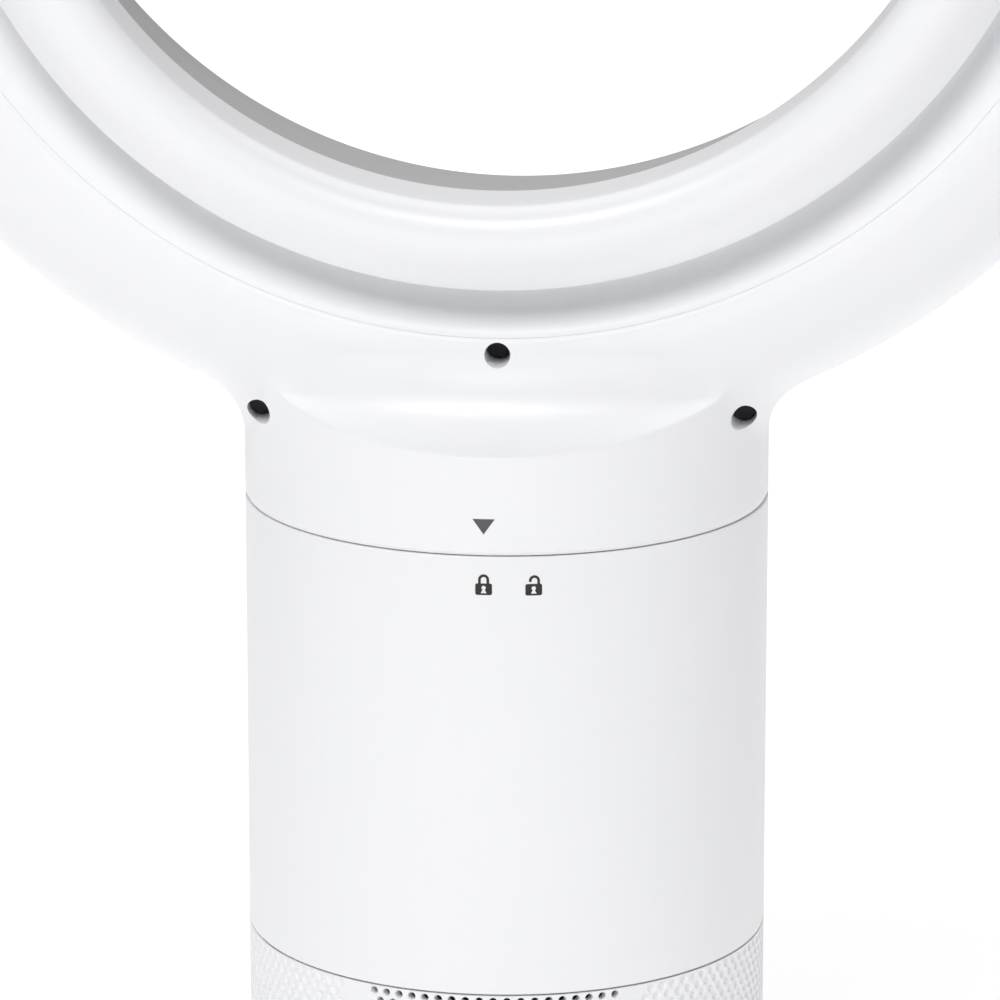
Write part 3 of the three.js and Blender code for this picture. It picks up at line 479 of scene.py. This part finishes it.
# The flare runs as [radius, height] from the foot up to the straight part, and its inside runs back down.
base_bottom = low_high("base_shell")[0][2]
flare = smooth_profile([(72.5, base_bottom + 0.5), (71.6, 15.8), (68.4, 18.4), (63.6, 23), (59.4, 28.5),
                        (56.5, 33), (55.2, 36.6), (55, 40), (55, 45)], 6)
base_outline = np.vstack([[(72.1, base_bottom)], flare, [(55, BASE_TOP), (55 - BASE_WALL, BASE_TOP)],
                          (flare - [BASE_WALL, 0])[::-1], [(70.1, base_bottom)]])
base_shell = turned("base_moulding", base_outline, 288)
panel_low, panel_high = low_high("control_panel")


PLATE_COLUMNS = 64


def curved_plate(name, inner, outer, low, high, half_angle, corner):
    """A plate that follows the body's curve: a rounded rectangle in arc length and height, given a depth.
    It is a row of upright columns with four corners each, and the columns near an end are shorter."""
    arc = math.radians(half_angle) * BODY_RADIUS
    turn = np.linspace(0, np.pi / 2, 8)
    from_end, shorter = corner * (1 - np.cos(turn)), corner * (1 - np.sin(turn))
    middle = np.linspace(corner - arc, arc - corner, PLATE_COLUMNS)[1:-1]
    angle = np.concatenate([from_end - arc, middle, (arc - from_end)[::-1]]) / BODY_RADIUS
    inset = np.concatenate([shorter, 0 * middle, shorter[::-1]])
    low, high = low + inset, high - inset
    columns = [np.stack([r * np.sin(angle), -r * np.cos(angle), z], 1)
               for r, z in ((inner, low), (outer, low), (outer, high), (inner, high))]
    return capped(name, np.stack(columns, 1))


def bent(name, outline, inner, outer, azimuth):
    """A flat outline of [arc length at the body's radius, height] wrapped round the upright axis, between
    two radii, centred on an azimuth from the front. Its two faces run straight between points of the
    outline, so it is for small marks. A wide piece is a curved_plate."""
    outline = np.asarray(outline, float)
    angle = outline[:, 0] / BODY_RADIUS + math.radians(azimuth)
    rows = [np.stack([r * np.sin(angle), -r * np.cos(angle), outline[:, 1]], 1) for r in (inner, outer)]
    count = len(outline)
    inner_face = np.array(tessellate_polygon([[(x, y, 0.0) for x, y in outline]]))
    outer_face = (inner_face + count)[:, ::-1]
    sides = grid_faces(2, count, False, True).tolist()
    return outwards(make_mesh(name, np.vstack(rows), sides + inner_face.tolist() + outer_face.tolist()))


# Degrees to either side of the front. A degree is about a millimetre at this radius, so GAP suits both.
PANEL_HALF = 39.0
opening = curved_plate("opening", CUT_INNER, CUT_OUTER, panel_low[2] - GAP, panel_high[2] + GAP,
                       PANEL_HALF + GAP, 2.2)
base_shell = smooth(combine(base_shell, [tilt_drum(TILT_RADIUS + GAP), opening]), 30)

for piece, node, body in ((body_shell, "body_shell", "body"), (tilt_sled, "tilt_sled", "body"),
                          (base_shell, "base_shell", "base")):
    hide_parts(node)
    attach(piece, body)
    print(piece.name + ":", len(piece.data.polygons), "faces")

# %% [markdown]
# ## The air inlet
# The body draws air through rows of small holes. The real grille is one moulding with a staggered pattern:
# holes that go right through in a window at the back, and shallow blind dimples round the rest. Cutting them
# one by one would be slow, because there are hundreds, so one six-sided cell is worked out, with its hole or
# dimple, and stamped at every place of the staggered lattice at once. Neighbouring cells share their edges.

# %% The cell's rings and where the cells go
COLUMNS, ROW_STEP, FIRST_ROW_DROP = 120, 2.0, 1.15
HOLE_RADIUS, DIMPLE_RADIUS, DIMPLE_DEPTH = 0.82, 1.0, 0.45
HOLE_EASE, DIMPLE_EASE = 0.16, 0.14       # depth of the softened edge
WINDOW_CENTRE, WINDOW_HALF, BAND_HALF = 179.3, 27.8, 34.0     # degrees; the band beside the holes is plain
PLAIN_TOP, PLAIN_BOTTOM = 1, 1.6          # heights of the plain strips at the two seams
PLAIN, DIMPLE, HOLE = 0, 1, 2
half = np.pi * BODY_RADIUS / COLUMNS
low_corner = ((half ** 2 + ROW_STEP ** 2) / 2 - half ** 2) / ROW_STEP
high_corner = (half ** 2 + ROW_STEP ** 2) / 2 / ROW_STEP
corners = np.array([(half, -low_corner), (half, low_corner), (0, high_corner), (-half, low_corner),
                    (-half, -low_corner), (0, -high_corner)])
cell_edge = np.stack([corners, (corners + np.roll(corners, -1, 0)) / 2], 1).reshape(-1, 2)
cell_way = cell_edge / np.linalg.norm(cell_edge, axis=1, keepdims=True)
SPOKES = len(cell_edge)


def cell_centres():
    """The lattice as azimuths in degrees, heights and kinds. Every second row is half a column on."""
    top, bottom = grille_high[2], grille_low[2]
    rows = np.arange(-1, int((top - bottom) / ROW_STEP) + 2)
    heights = top - FIRST_ROW_DROP - rows * ROW_STEP
    azimuth = (np.arange(COLUMNS)[None] + 0.5 * (rows[:, None] % 2)) * (360 / COLUMNS)
    height = heights[:, None] * np.ones(COLUMNS)
    off = np.abs((azimuth - WINDOW_CENTRE + 180) % 360 - 180)
    kind = np.where(off < WINDOW_HALF, HOLE, np.where(off < BAND_HALF, PLAIN, DIMPLE))
    inside = (height < top - PLAIN_TOP) & (height > bottom + PLAIN_BOTTOM)
    return azimuth.ravel(), height.ravel(), np.where(inside, kind, PLAIN).ravel()


def stamp(azimuth, height, rings, closing):
    """Copies of one cell: rings are [share of the way from a circle to the cell's edge, circle radius,
    depth below the face], and neighbouring rings are joined by quads. closing is the last ring's lid."""
    count, depth = len(azimuth), np.array([ring[2] for ring in rings])
    flat = np.stack([ring[0] * cell_edge + (1 - ring[0]) * ring[1] * cell_way for ring in rings])
    angle = np.radians(azimuth)[:, None, None] + flat[None, :, :, 0] / BODY_RADIUS
    level = np.clip(height[:, None, None] + flat[None, :, :, 1], grille_low[2], grille_high[2])
    radius = (BODY_RADIUS - depth)[None, :, None] * np.ones_like(angle)
    points = np.stack([radius * np.sin(angle), -radius * np.cos(angle), level], -1).reshape(-1, 3)
    faces = grid_faces(len(rings), SPOKES, False, True)
    per_cell = len(rings) * SPOKES
    all_faces = (faces[None] + per_cell * np.arange(count)[:, None, None]).reshape(-1, 4).tolist()
    if closing:
        last = np.arange(SPOKES) + (len(rings) - 1) * SPOKES
        all_faces += (last[None] + per_cell * np.arange(count)[:, None]).tolist()
    return points, all_faces


print(COLUMNS, "columns of cells, rows", ROW_STEP, "mm apart")

# %% [markdown]
# ### Stamping the grille
# The lattice gives three kinds of cell: plain, dimpled and holed. A holed cell is one strip from the face,
# down the hole and back along the inside; the other two are a face and an inside that don't meet. Once the
# shared edges are merged, all that is left open is the two rims, and a bridge of faces closes each.

# %% Stamp the grille
MERGE, SLIVER, AT_RIM = 2e-6, 1e-11, 0.02     # metres, square metres, millimetres


def make_grille():
    """The grille's faces: each kind of cell, stamped at all its places."""
    azimuth, height, kind = cell_centres()
    r, d = HOLE_RADIUS, DIMPLE_RADIUS
    face, inside = (1, 0, 0), (1, 0, WALL)
    # A dimple sinks from an eased edge to a small flat floor, and a hole goes on through the wall.
    dimple = [face, (0, d + 0.12, 0), (0, d - 0.05, DIMPLE_EASE), (0, d * 0.55, DIMPLE_DEPTH)]
    hole = [face, (0, r + 0.14, 0), (0, r, HOLE_EASE), (0, r, WALL), inside]
    forms = {PLAIN: [([face], True), ([inside], True)], DIMPLE: [(dimple, True), ([inside], True)],
             HOLE: [(hole, False)]}
    points, faces, start = [], [], 0
    for value, sheets in forms.items():
        here = kind == value
        for rings, closing in sheets:
            some_points, some_faces = stamp(azimuth[here], height[here], rings, closing)
            points.append(some_points)
            faces += [[corner + start for corner in face] for face in some_faces]
            start += len(some_points)
    return make_mesh("inlet_grille_moulding", np.vstack(points), faces)


def close_rims(piece):
    """Merges shared edges, drops cells cut to nothing at the rims, and bridges inside to outside there."""
    work = bmesh.new()
    work.from_mesh(piece.data)
    bmesh.ops.remove_doubles(work, verts=work.verts, dist=MERGE)
    bmesh.ops.dissolve_degenerate(work, edges=work.edges, dist=MERGE)
    flat_ends = [f for f in work.faces if f.calc_area() < SLIVER]
    bmesh.ops.delete(work, geom=flat_ends, context="FACES")
    for level in (grille_low[2], grille_high[2]):
        rim = [e for e in work.edges if e.is_boundary
               and all(abs(v.co.z / MM - level) < AT_RIM for v in e.verts)]
        bmesh.ops.bridge_loops(work, edges=rim)
    bmesh.ops.recalc_face_normals(work, faces=work.faces)
    open_edges = sum(e.is_boundary for e in work.edges)
    work.to_mesh(piece.data)
    work.free()
    print("inlet grille:", len(piece.data.polygons), "faces,", open_edges, "open edges")
    return piece


inlet_grille = smooth(close_rims(make_grille()), 35)
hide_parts("inlet_grille")
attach(inlet_grille, "body")

# %% [markdown]
# ### Painted shade behind the holes
# A dark sleeve lies behind the grille as painted shade, standing for the dark inside of the body. It is what
# makes the holes read as dark dots, where the body's own wall would shine white through them.

# %% Painted shade sleeve behind the holes
# A dark sleeve behind the holes: painted shade for the body's dark inside.
SHADE_SLEEVE_OUTER, SHADE_SLEEVE_WALL = inner_radius - 0.4, 1.2
sleeve = can(SHADE_SLEEVE_OUTER, SHADE_SLEEVE_WALL, grille_low[2] + 1.5, grille_high[2] - 0.5)
dust_filter = smooth(turned("dust_filter", sleeve, 96))
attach(dust_filter, "body")
print("painted shade sleeve:", len(dust_filter.data.polygons), "faces")

# %% [markdown]
# ## Foot, pads and power socket
# The foot is a shallow dish on four rubber pads. Its rim carries the base's flare down to the table. The
# socket for the power lead sits in a notch at the back; the photograph shows no lead, so there is none.

# %% Foot plate, pads and socket
foot_low, foot_high = low_high("foot_plate")
socket_low, socket_high = low_high("power_socket")
FOOT_TOP, FOOT_FLOOR = 14.0, 2.4
RIM_INNER, HUB_OUTER, HUB_INNER = 70.1, 11, 6.5
PAD_RADIUS, PAD_TOP_RADIUS, RECESS_RADIUS = 7, 6.8, 7.3
FOOT_RADIUS, FOOT_TOP_RADIUS = 74, 72.5
floor_top = foot_low[2] + FOOT_FLOOR
foot_outline = rounded([(HUB_INNER, foot_low[2]), (FOOT_RADIUS, foot_low[2]), (FOOT_TOP_RADIUS, FOOT_TOP),
                        (RIM_INNER, FOOT_TOP), (RIM_INNER, floor_top), (HUB_OUTER, floor_top),
                        (HUB_OUTER, foot_high[2]), (HUB_INNER, foot_high[2])], 0.9)
foot_plate = turned("foot_moulding", foot_outline, 288)


def box_piece(name, low, high, corner=0.8):
    """A block with its upright edges rounded: one rounded outline, carried up."""
    outline = rounded([(low[0], low[1]), (high[0], low[1]), (high[0], high[1]), (low[0], high[1])], corner)
    rows = [np.column_stack([outline, np.full(len(outline), z)]) for z in (low[2], high[2])]
    return capped(name, np.array(rows))


# The notch for the socket runs out through the rim and up through its top.
NOTCH_PAST_RIM, NOTCH_ABOVE = 20, 10
notch = box_piece("notch", socket_low - [GAP, 0, GAP * 3], socket_high + [GAP, NOTCH_PAST_RIM, NOTCH_ABOVE])
pads = []
recesses = []
for number in range(1, 5):
    low, high = low_high(f"rubber_foot_{number}")
    middle = (low + high) / 2
    outline = rounded([(0, 0), (PAD_RADIUS, 0), (PAD_TOP_RADIUS, high[2]), (0, high[2])], 0.8)
    pad = turned(f"rubber_pad_{number}", outline, 64, centre=middle)
    recess_top = high[2] + GAP
    recess = [(0, -1), (RECESS_RADIUS, -1), (RECESS_RADIUS, recess_top), (0, recess_top)]
    recesses.append(turned("recess", recess, 64, centre=middle))
    pads.append(smooth(pad, 40))
    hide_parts(f"rubber_foot_{number}")
    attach(pad, "foot")
foot_plate = smooth(combine(foot_plate, [notch, *recesses]), 30)

SOCKET_BORE, BORE_LENGTH, PIN_RADIUS, PIN_SET_BACK = 3.2, 8, 1.0, 1.2
socket = box_piece("socket_moulding", socket_low, socket_high, 1.2)
mouth, socket_level = socket_high[1], (socket_low[2] + socket_high[2]) / 2
socket_bore = rod("bore", SOCKET_BORE, mouth - BORE_LENGTH, mouth + 5, 0, socket_level)
socket = smooth(combine(socket, [socket_bore]), 30)
socket_pin = rod("socket_pin", PIN_RADIUS, mouth - BORE_LENGTH + 0.1, mouth - PIN_SET_BACK, 0, socket_level)
smooth(socket_pin, 40)
for piece, node, slot in ((foot_plate, "foot_plate", "shell_white"),
                          (socket, "power_socket", "dark_plastic")):
    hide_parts(node)
    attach(piece, "foot")
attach(socket_pin, "foot")
print("foot:", len(foot_plate.data.polygons), "faces,", len(pads), "pads")

# %% [markdown]
# ## Controls
# Four round buttons and a dark display window sit in a panel that follows the base's curve. The photograph
# doesn't show this side, so they follow what fans of this kind have. Each button is a turned cap with a
# dished face, laid on its side and swung to its place.

# %% Panel, lens and buttons
BUTTONS = {"power_button": ("power_key", -30), "speed_down_button": ("speed_down_key", -15),
           "speed_up_button": ("speed_up_key", 15), "oscillation_button": ("oscillation_key", 30)}
BUTTON_RADIUS, FLANGE_RADIUS, BUTTON_SIDES = 3.5, 4.3, 64
DISH_RADIUS, DISH_DEPTH, EDGE_DROP = 2.4, 0.5, 0.1
HOLE_HALF_LENGTH = 8

# Distances out from the upright axis.
FLANGE_INNER, FLANGE_OUTER, BUTTON_FACE = 50.3, 51.3, 56.1
PANEL_INNER, PANEL_FACE, LENS_INNER, LENS_FACE = 52.6, 55.3, 49.5, 55.25
lens_low, lens_high = low_high("display_lens")
button_height = sum(low_high("power_button"))[2] / 2
lens_half = math.degrees(lens_high[0] / BODY_RADIUS)


def laid(name, outline, azimuth, depth_from):
    """A turned outline of [radius, distance out from the axis], laid flat and swung to face away from the
    upright axis at an azimuth in degrees from the front."""
    azimuth = math.radians(azimuth)
    way = np.array([math.sin(azimuth), -math.cos(azimuth)])
    side = np.array([-way[1], way[0]])
    outline = np.asarray(outline, float)
    angle = np.linspace(0, 2 * np.pi, BUTTON_SIDES, endpoint=False)
    radius, out = outline[:, 0][:, None], outline[:, 1][:, None] + depth_from
    across = radius * np.sin(angle)
    flat = out[..., None] * way + across[..., None] * side
    points = np.concatenate([flat, (radius * np.cos(angle) + button_height)[..., None]], -1)
    return capped(name, points[1:-1], points[[0, -1], 0])


control_panel = curved_plate("panel_moulding", PANEL_INNER, PANEL_FACE, panel_low[2], panel_high[2],
                             PANEL_HALF, 2.0)
hole_outline = [(0, -HOLE_HALF_LENGTH), (BUTTON_RADIUS + GAP, -HOLE_HALF_LENGTH),
                (BUTTON_RADIUS + GAP, HOLE_HALF_LENGTH), (0, HOLE_HALF_LENGTH)]
panel_tools = [laid("button_hole", hole_outline, azimuth, BODY_RADIUS) for _, azimuth in BUTTONS.values()]
panel_tools.append(curved_plate("lens_hole", CUT_INNER, CUT_OUTER, lens_low[2] - GAP, lens_high[2] + GAP,
                                lens_half + GAP, 1.2))
control_panel = smooth(combine(control_panel, panel_tools), 30)
display_lens = curved_plate("lens_moulding", LENS_INNER, LENS_FACE, lens_low[2], lens_high[2], lens_half, 1.0)
smooth(display_lens, 30)
button_outline = rounded([(0, FLANGE_INNER), (FLANGE_RADIUS, FLANGE_INNER), (FLANGE_RADIUS, FLANGE_OUTER),
                          (BUTTON_RADIUS, FLANGE_OUTER), (BUTTON_RADIUS, BUTTON_FACE),
                          (DISH_RADIUS, BUTTON_FACE - EDGE_DROP), (0, BUTTON_FACE - DISH_DEPTH)], 0.5)
for node, (body, azimuth) in BUTTONS.items():
    button = smooth(laid(node.replace("button", "cap"), button_outline, azimuth, 0), 35)
    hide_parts(node)
    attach(button, body)
for piece, node, slot in ((control_panel, "control_panel", "shell_white"),
                          (display_lens, "display_lens", "lens")):
    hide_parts(node)
    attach(piece, "base")
print("panel:", len(control_panel.data.polygons), "faces,", len(BUTTONS), "buttons")

# %% [markdown]
# ## Printed marks
# A grey triangle on the collar points at one of two plain padlocks printed on the body: closed where the
# ring is locked, open where it lifts off. They are pad-printed on the real fan. Here each mark is an outline
# in arc length and height, wrapped round the cylinder as a film a few hundredths of a millimetre thick.

# %% The triangle and the padlocks
INK, INK_ROOT = 0.05, 0.12               # how far a mark stands out, and how far it reaches in
REAR = 180.0 + math.degrees(SWING)
LOCK_ARC, UNLOCK_ARC = -4.95, 5.2        # arc lengths from the middle of the back
TRIANGLE_RISE, LOCK_DROP = 6.0, 6.1      # from the seam
arc_points = np.linspace(0, np.pi, 15)


def arch(outer, inner, left_foot, right_foot, top):
    """A shackle: an outer half circle and an inner one, with a leg down at either side."""
    over = np.stack([-outer * np.cos(arc_points), top + outer * np.sin(arc_points)], 1)
    under = np.stack([inner * np.cos(arc_points), top + inner * np.sin(arc_points)], 1)
    return np.vstack([[(-outer, left_foot)], over, [(outer, right_foot), (inner, right_foot)], under,
                      [(-inner, left_foot)]])


def keyhole_body(width, low, high):
    """A padlock's body with a keyhole: the outline runs round the body, in along a slit to the keyhole,
    round that, and back out."""
    body = rounded([(-width, low), (0, low), (width, low), (width, high), (0, high), (-width, high)], 0.42)
    start = int(np.argmin(np.abs(body[:, 0]) + np.abs(body[:, 1] - low)))
    body = np.roll(body, -start, 0)
    foot, foot_half, radius, slit = low + 0.36, 0.6, 0.45, 0.002
    middle = low + (high - low) * 0.62
    turn = np.linspace(-0.33 * np.pi, 1.33 * np.pi, 15)[::-1]
    circle = np.stack([radius * np.cos(turn), middle + radius * np.sin(turn)], 1)
    return np.vstack([[(slit, low)], body[1:], [(-slit, low), (-slit, foot), (-foot_half, foot)], circle,
                      [(foot_half, foot), (slit, foot)]])


def print_mark(name, outline, arc, level, body):
    """Wraps an outline, given about its own middle, on the back of the body."""
    film = bent(name, np.asarray(outline) + [arc, level], BODY_RADIUS - INK_ROOT, BODY_RADIUS + INK, REAR)
    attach(film, body)
    return film


# Each mark's outline is in millimetres about its own middle.
triangle = print_mark("arrow_mark", [(0, -1.55), (2.25, 1.65), (-2.25, 1.65)], LOCK_ARC,
                      SEAM + TRIANGLE_RISE, "ring")
marks = [triangle]
for name, arc, left, right, rise, shift, drop in (("closed_lock", LOCK_ARC, 0.2, 0.2, 1.1, 0.0, 0.0),
                                                  ("open_lock", UNLOCK_ARC, 0.75, 0.1, 1.0, 0.14, 0.1)):
    level = SEAM - LOCK_DROP - drop
    shackle = arch(1.12, 0.58, left, right, rise) + [shift, 0.0]
    marks.append(print_mark(name + "_shackle", shackle, arc, level, "body"))
    marks.append(print_mark(name + "_body", keyhole_body(1.7, -2.1, 0.3), arc, level, "body"))
print("marks:", ", ".join(mark.name for mark in marks))

# %% [markdown]
# ## Finishes
# Each finish is named for what the real surface is. One function turns a hex colour to Blender's linear
# light, and one adds a node with its settings and links. Scales are worked out from sizes in millimetres,
# and patterns read Object coordinates, which here are the fan's own metres.

# %% Colour and node helpers
CLOUD_MM = 70                             # the width of a drift in colour


def linear(hex_colour):
    """An sRGB hex colour as linear red, green, blue and a full alpha."""
    parts = np.array([int(hex_colour[k:k + 2], 16) for k in (0, 2, 4)]) / 255
    curve = np.where(parts <= 0.04045, parts / 12.92, ((parts + 0.055) / 1.055) ** 2.4)
    return (*curve.tolist(), 1.0)


def add(tree, kind, settings=None, inputs=None, links=None):
    """Adds a node: settings are its own properties, inputs its socket values, links what feeds a socket."""
    node = tree.nodes.new(kind)
    for key, value in (settings or {}).items():
        setattr(node, key, value)
    for key, value in (inputs or {}).items():
        node.inputs[key].default_value = value
    for key, source in (links or {}).items():
        tree.links.new(source, node.inputs[key])
    return node


def per_mm(size):
    """The scale of a texture, in Object coordinates, whose features are that many millimetres across."""
    return 1 / (size * MM)


def finish_of(name, colour, roughness, grain_mm, grain_depth_mm, wander=0.05, shade=None, **surface):
    """A moulded or made surface: its colour drifts a little towards a second one over centimetres, its
    roughness wanders, and a fine grain of a given width and depth stands on it. The colour mix has sockets
    of the same name for each kind of value, so its own are picked by number: 0 the share, 6 and 7 the two
    colours, 2 the result."""
    material = bpy.data.materials.new(name)
    material.use_nodes = True
    tree = material.node_tree
    tree.nodes.clear()
    place = add(tree, "ShaderNodeTexCoord").outputs["Object"]
    cloud = add(tree, "ShaderNodeTexNoise", inputs={"Scale": per_mm(CLOUD_MM), "Detail": 3.0},
                links={"Vector": place})
    grain = add(tree, "ShaderNodeTexNoise", inputs={"Scale": per_mm(grain_mm), "Detail": 2.0},
                links={"Vector": place})
    tint = add(tree, "ShaderNodeMix", {"data_type": "RGBA"}, {6: linear(colour), 7: linear(shade or colour)},
               {0: cloud.outputs["Fac"]})
    rough = add(tree, "ShaderNodeMapRange", links={"Value": grain.outputs["Fac"]},
                inputs={"To Min": roughness - wander, "To Max": roughness + wander})
    bump = add(tree, "ShaderNodeBump", inputs={"Strength": 1.0, "Distance": grain_depth_mm * MM},
               links={"Height": grain.outputs["Fac"]})
    shader = add(tree, "ShaderNodeBsdfPrincipled", inputs=surface,
                 links={"Base Color": tint.outputs[2], "Roughness": rough.outputs["Result"],
                        "Normal": bump.outputs["Normal"]})
    add(tree, "ShaderNodeOutputMaterial", links={"Surface": shader.outputs["BSDF"]})
    return material


print("colour drifts over", CLOUD_MM, "mm, a texture scale of", round(per_mm(CLOUD_MM), 2))

# %% [markdown]
# ### The finishes themselves
# Most of the fan is white ABS from a satin tool: very light, faintly cool, with a broad soft highlight.
# Grain on a satin tool is some 0.05 mm across, too fine to show, so it is drawn at half a millimetre and
# kept very shallow. Each finish is one line here, because only its numbers differ from the next one's:
# colour, roughness, the grain's width and its depth.

# %% The finishes
finishes = {
    # White ABS moulded in a satin tool: a light shell with a broad, soft highlight.
    "shell_white": finish_of("white_abs_satin", "F4F4F6", 0.38, 0.5, 0.0012, shade="EFF0F3", IOR=1.53),
    # The same plastic in a warm light grey, which sets the throat off from the ring.
    "throat_grey": finish_of("grey_abs_satin", "B9B8B9", 0.42, 0.5, 0.0012, shade="B3B2B3", IOR=1.53),
    # Undyed acetal, moulded: a milky white, duller than the shell, as sliding parts have.
    "inner_plastic": finish_of("natural_acetal", "E4E4E2", 0.5, 0.8, 0.003, shade="DDDDDA", IOR=1.48),
    # Near black, for the padlocks' ink and the moulded socket: a little warm, with a weak, wide shine.
    "dark_plastic": finish_of("black_pad_print_and_abs", "231D1C", 0.5, 0.4, 0.001, shade="2A2523", IOR=1.5),
    # Pressed EPDM rubber: matt and dark grey, with an uneven skin.
    "rubber": finish_of("black_epdm_rubber", "2B2C2E", 0.85, 0.9, 0.02, shade="343537", IOR=1.5),
    # Steel with a zinc plating: bright, with a cool, slightly blurred reflection.
    "steel": finish_of("zinc_plated_steel", "B9BDC2", 0.3, 0.3, 0.002, shade="A6AAB0", Metallic=1.0),
    # Enamelled winding wire: a warm metal, with a grain as wide as one wire.
    "copper": finish_of("enamelled_copper_wire", "B4652F", 0.35, 0.4, 0.03, shade="9C5223", Metallic=1.0),
    # Green solder mask over glass laminate: half shiny, with the weave just showing through it.
    "circuit_board": finish_of("solder_mask_on_laminate", "2C6A40", 0.4, 1.5, 0.01, shade="24563A", IOR=1.5),
    # Open polyether foam: no shine at all, and deep pores that swallow light.
    "foam": finish_of("polyether_foam", "3B3D41", 0.95, 1.2, 0.4, shade="2E3034", IOR=1.4),
    # Smoked acrylic, polished: nearly black, with a sharp reflection.
    "lens": finish_of("smoked_acrylic", "0E0F12", 0.08, 3.0, 0.0008, wander=0.02, shade="14161A", IOR=1.49),
    # ABS with a fine spark grain: a shade darker and duller than the panel, so that the buttons show.
    "button_grey": finish_of("grey_abs_fine_grain", "D9DADC", 0.48, 0.4, 0.003, shade="D2D3D6", IOR=1.53),
}

# Pad-printed grey ink: flat, and lighter than the padlocks' ink.
arrow_ink = finish_of("grey_pad_print", "545054", 0.5, 0.4, 0.001, shade="5A565A", IOR=1.5)

# Black oxide on steel: a dull dark coat that hides the metal's shine, so it isn't shaded as bare metal.
screw_black = finish_of("black_oxide_steel", "303032", 0.6, 0.3, 0.003, shade="262628", IOR=1.5)


def dress(piece, material):
    """Gives a piece one material, in place of any it has."""
    piece.data.materials.clear()
    piece.data.materials.append(material)


print(len(finishes) + 2, "finishes")

# %% [markdown]
# ### Dressing the pieces
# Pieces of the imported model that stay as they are, such as the motor, take the finish of their own slot, and
# the new surfaces take theirs from a list of what is made of what. The screws and the triangle come last,
# because their finish isn't their slot's.

# %% Dress every piece
slot_of = {entry["node"]: entry["material_slot"] for entry in frame["record"]["subparts"]}
for node, piece in frame["nodes"].items():
    for spot in piece.material_slots:
        spot.material = finishes[slot_of[node]]
made = {
    "shell_white": [ring_shell, rear_lip, groove_band, body_shell, tilt_sled, base_shell, inlet_grille,
                    foot_plate, control_panel],
    "throat_grey": [throat_wall],
    # The dark sleeve behind the grille's holes is painted shade, dressed in the foam finish.
    "foam": [dust_filter],
    "rubber": pads,
    "dark_plastic": [socket, *marks[1:]],
    "steel": [socket_pin],
    "lens": [display_lens],
    "button_grey": [bpy.data.objects[node.replace("button", "cap")] for node in BUTTONS],
}
for slot, dressed in made.items():
    for piece in dressed:
        dress(piece, finishes[slot])
dress(triangle, arrow_ink)
for name in SCREWS:
    frame["nodes"][name].material_slots[0].material = screw_black
print("dressed:", sum(map(len, made.values())) + 1, "new pieces,", len(frame["nodes"]), "nodes of the frame")

# %% [markdown]
# ## Floor and light
# A plain pale floor, a white surround and four large soft lamps. The first is broad, above and behind the
# camera, and two weak ones stand at the sides, so that the white plastic turns grey only towards its edges
# and in its grooves. The fourth lights the floor beyond the fan, which keeps the background white. The floor
# glows a little of its own, as a lit backdrop does.

# %% Floor, surround and lamps
FLOOR_REACH, FLOOR_LEVEL = 3000, -0.05
floor_corners = [(x * FLOOR_REACH, y * FLOOR_REACH, FLOOR_LEVEL)
                 for x, y in ((-1, -1), (1, -1), (1, 1), (-1, 1))]
floor = make_mesh("floor", np.array(floor_corners), [[0, 1, 2, 3]])
dress(floor, finish_of("lit_studio_floor", "FAFAFA", 0.7, 4.0, 0.01, shade="F8F8F8",
                       **{"Emission Color": (1.0, 1.0, 1.0, 1.0), "Emission Strength": 0.35}))

world = bpy.data.worlds.new("studio")
bpy.context.scene.world = world
bpy.context.scene.view_settings.view_transform = "Standard"
world.use_nodes = True
surround = world.node_tree.nodes["Background"]
surround.inputs["Color"].default_value = (1.0, 1.0, 1.0, 1.0)
surround.inputs["Strength"].default_value = 0.25


def lamp(name, place, towards, width, height, power):
    """A large soft lamp at a place in metres, facing another."""
    light = bpy.data.lights.new(name, "AREA")
    light.shape = "RECTANGLE"
    light.size = width
    light.size_y = height
    light.energy = power
    piece = bpy.data.objects.new(name, light)
    piece.location = place
    aim = Vector(towards) - Vector(place)
    piece.rotation_euler = aim.to_track_quat("-Z", "Y").to_euler()
    bpy.context.collection.objects.link(piece)


# Place and aim in metres, then width and height in metres and power in watts. The powers were set by
# comparing colour levels at spots on the fan and its background with the photograph's.
lamp("key", (0.25, 1.45, 1.95), (0, 0, 0.28), 1.2, 0.9, 30.5)
lamp("left", (1.7, 0.7, 0.5), (0, 0, 0.2), 0.8, 1.4, 0.4)
lamp("right", (-1.7, 0.7, 0.5), (0, 0, 0.2), 0.8, 1.4, 0.9)
lamp("backdrop", (0, -1.3, 1.9), (0, -1.31, 0), 2.6, 1.6, 24)
print("lamps:", ", ".join(sorted(light.name for light in bpy.data.lights)))
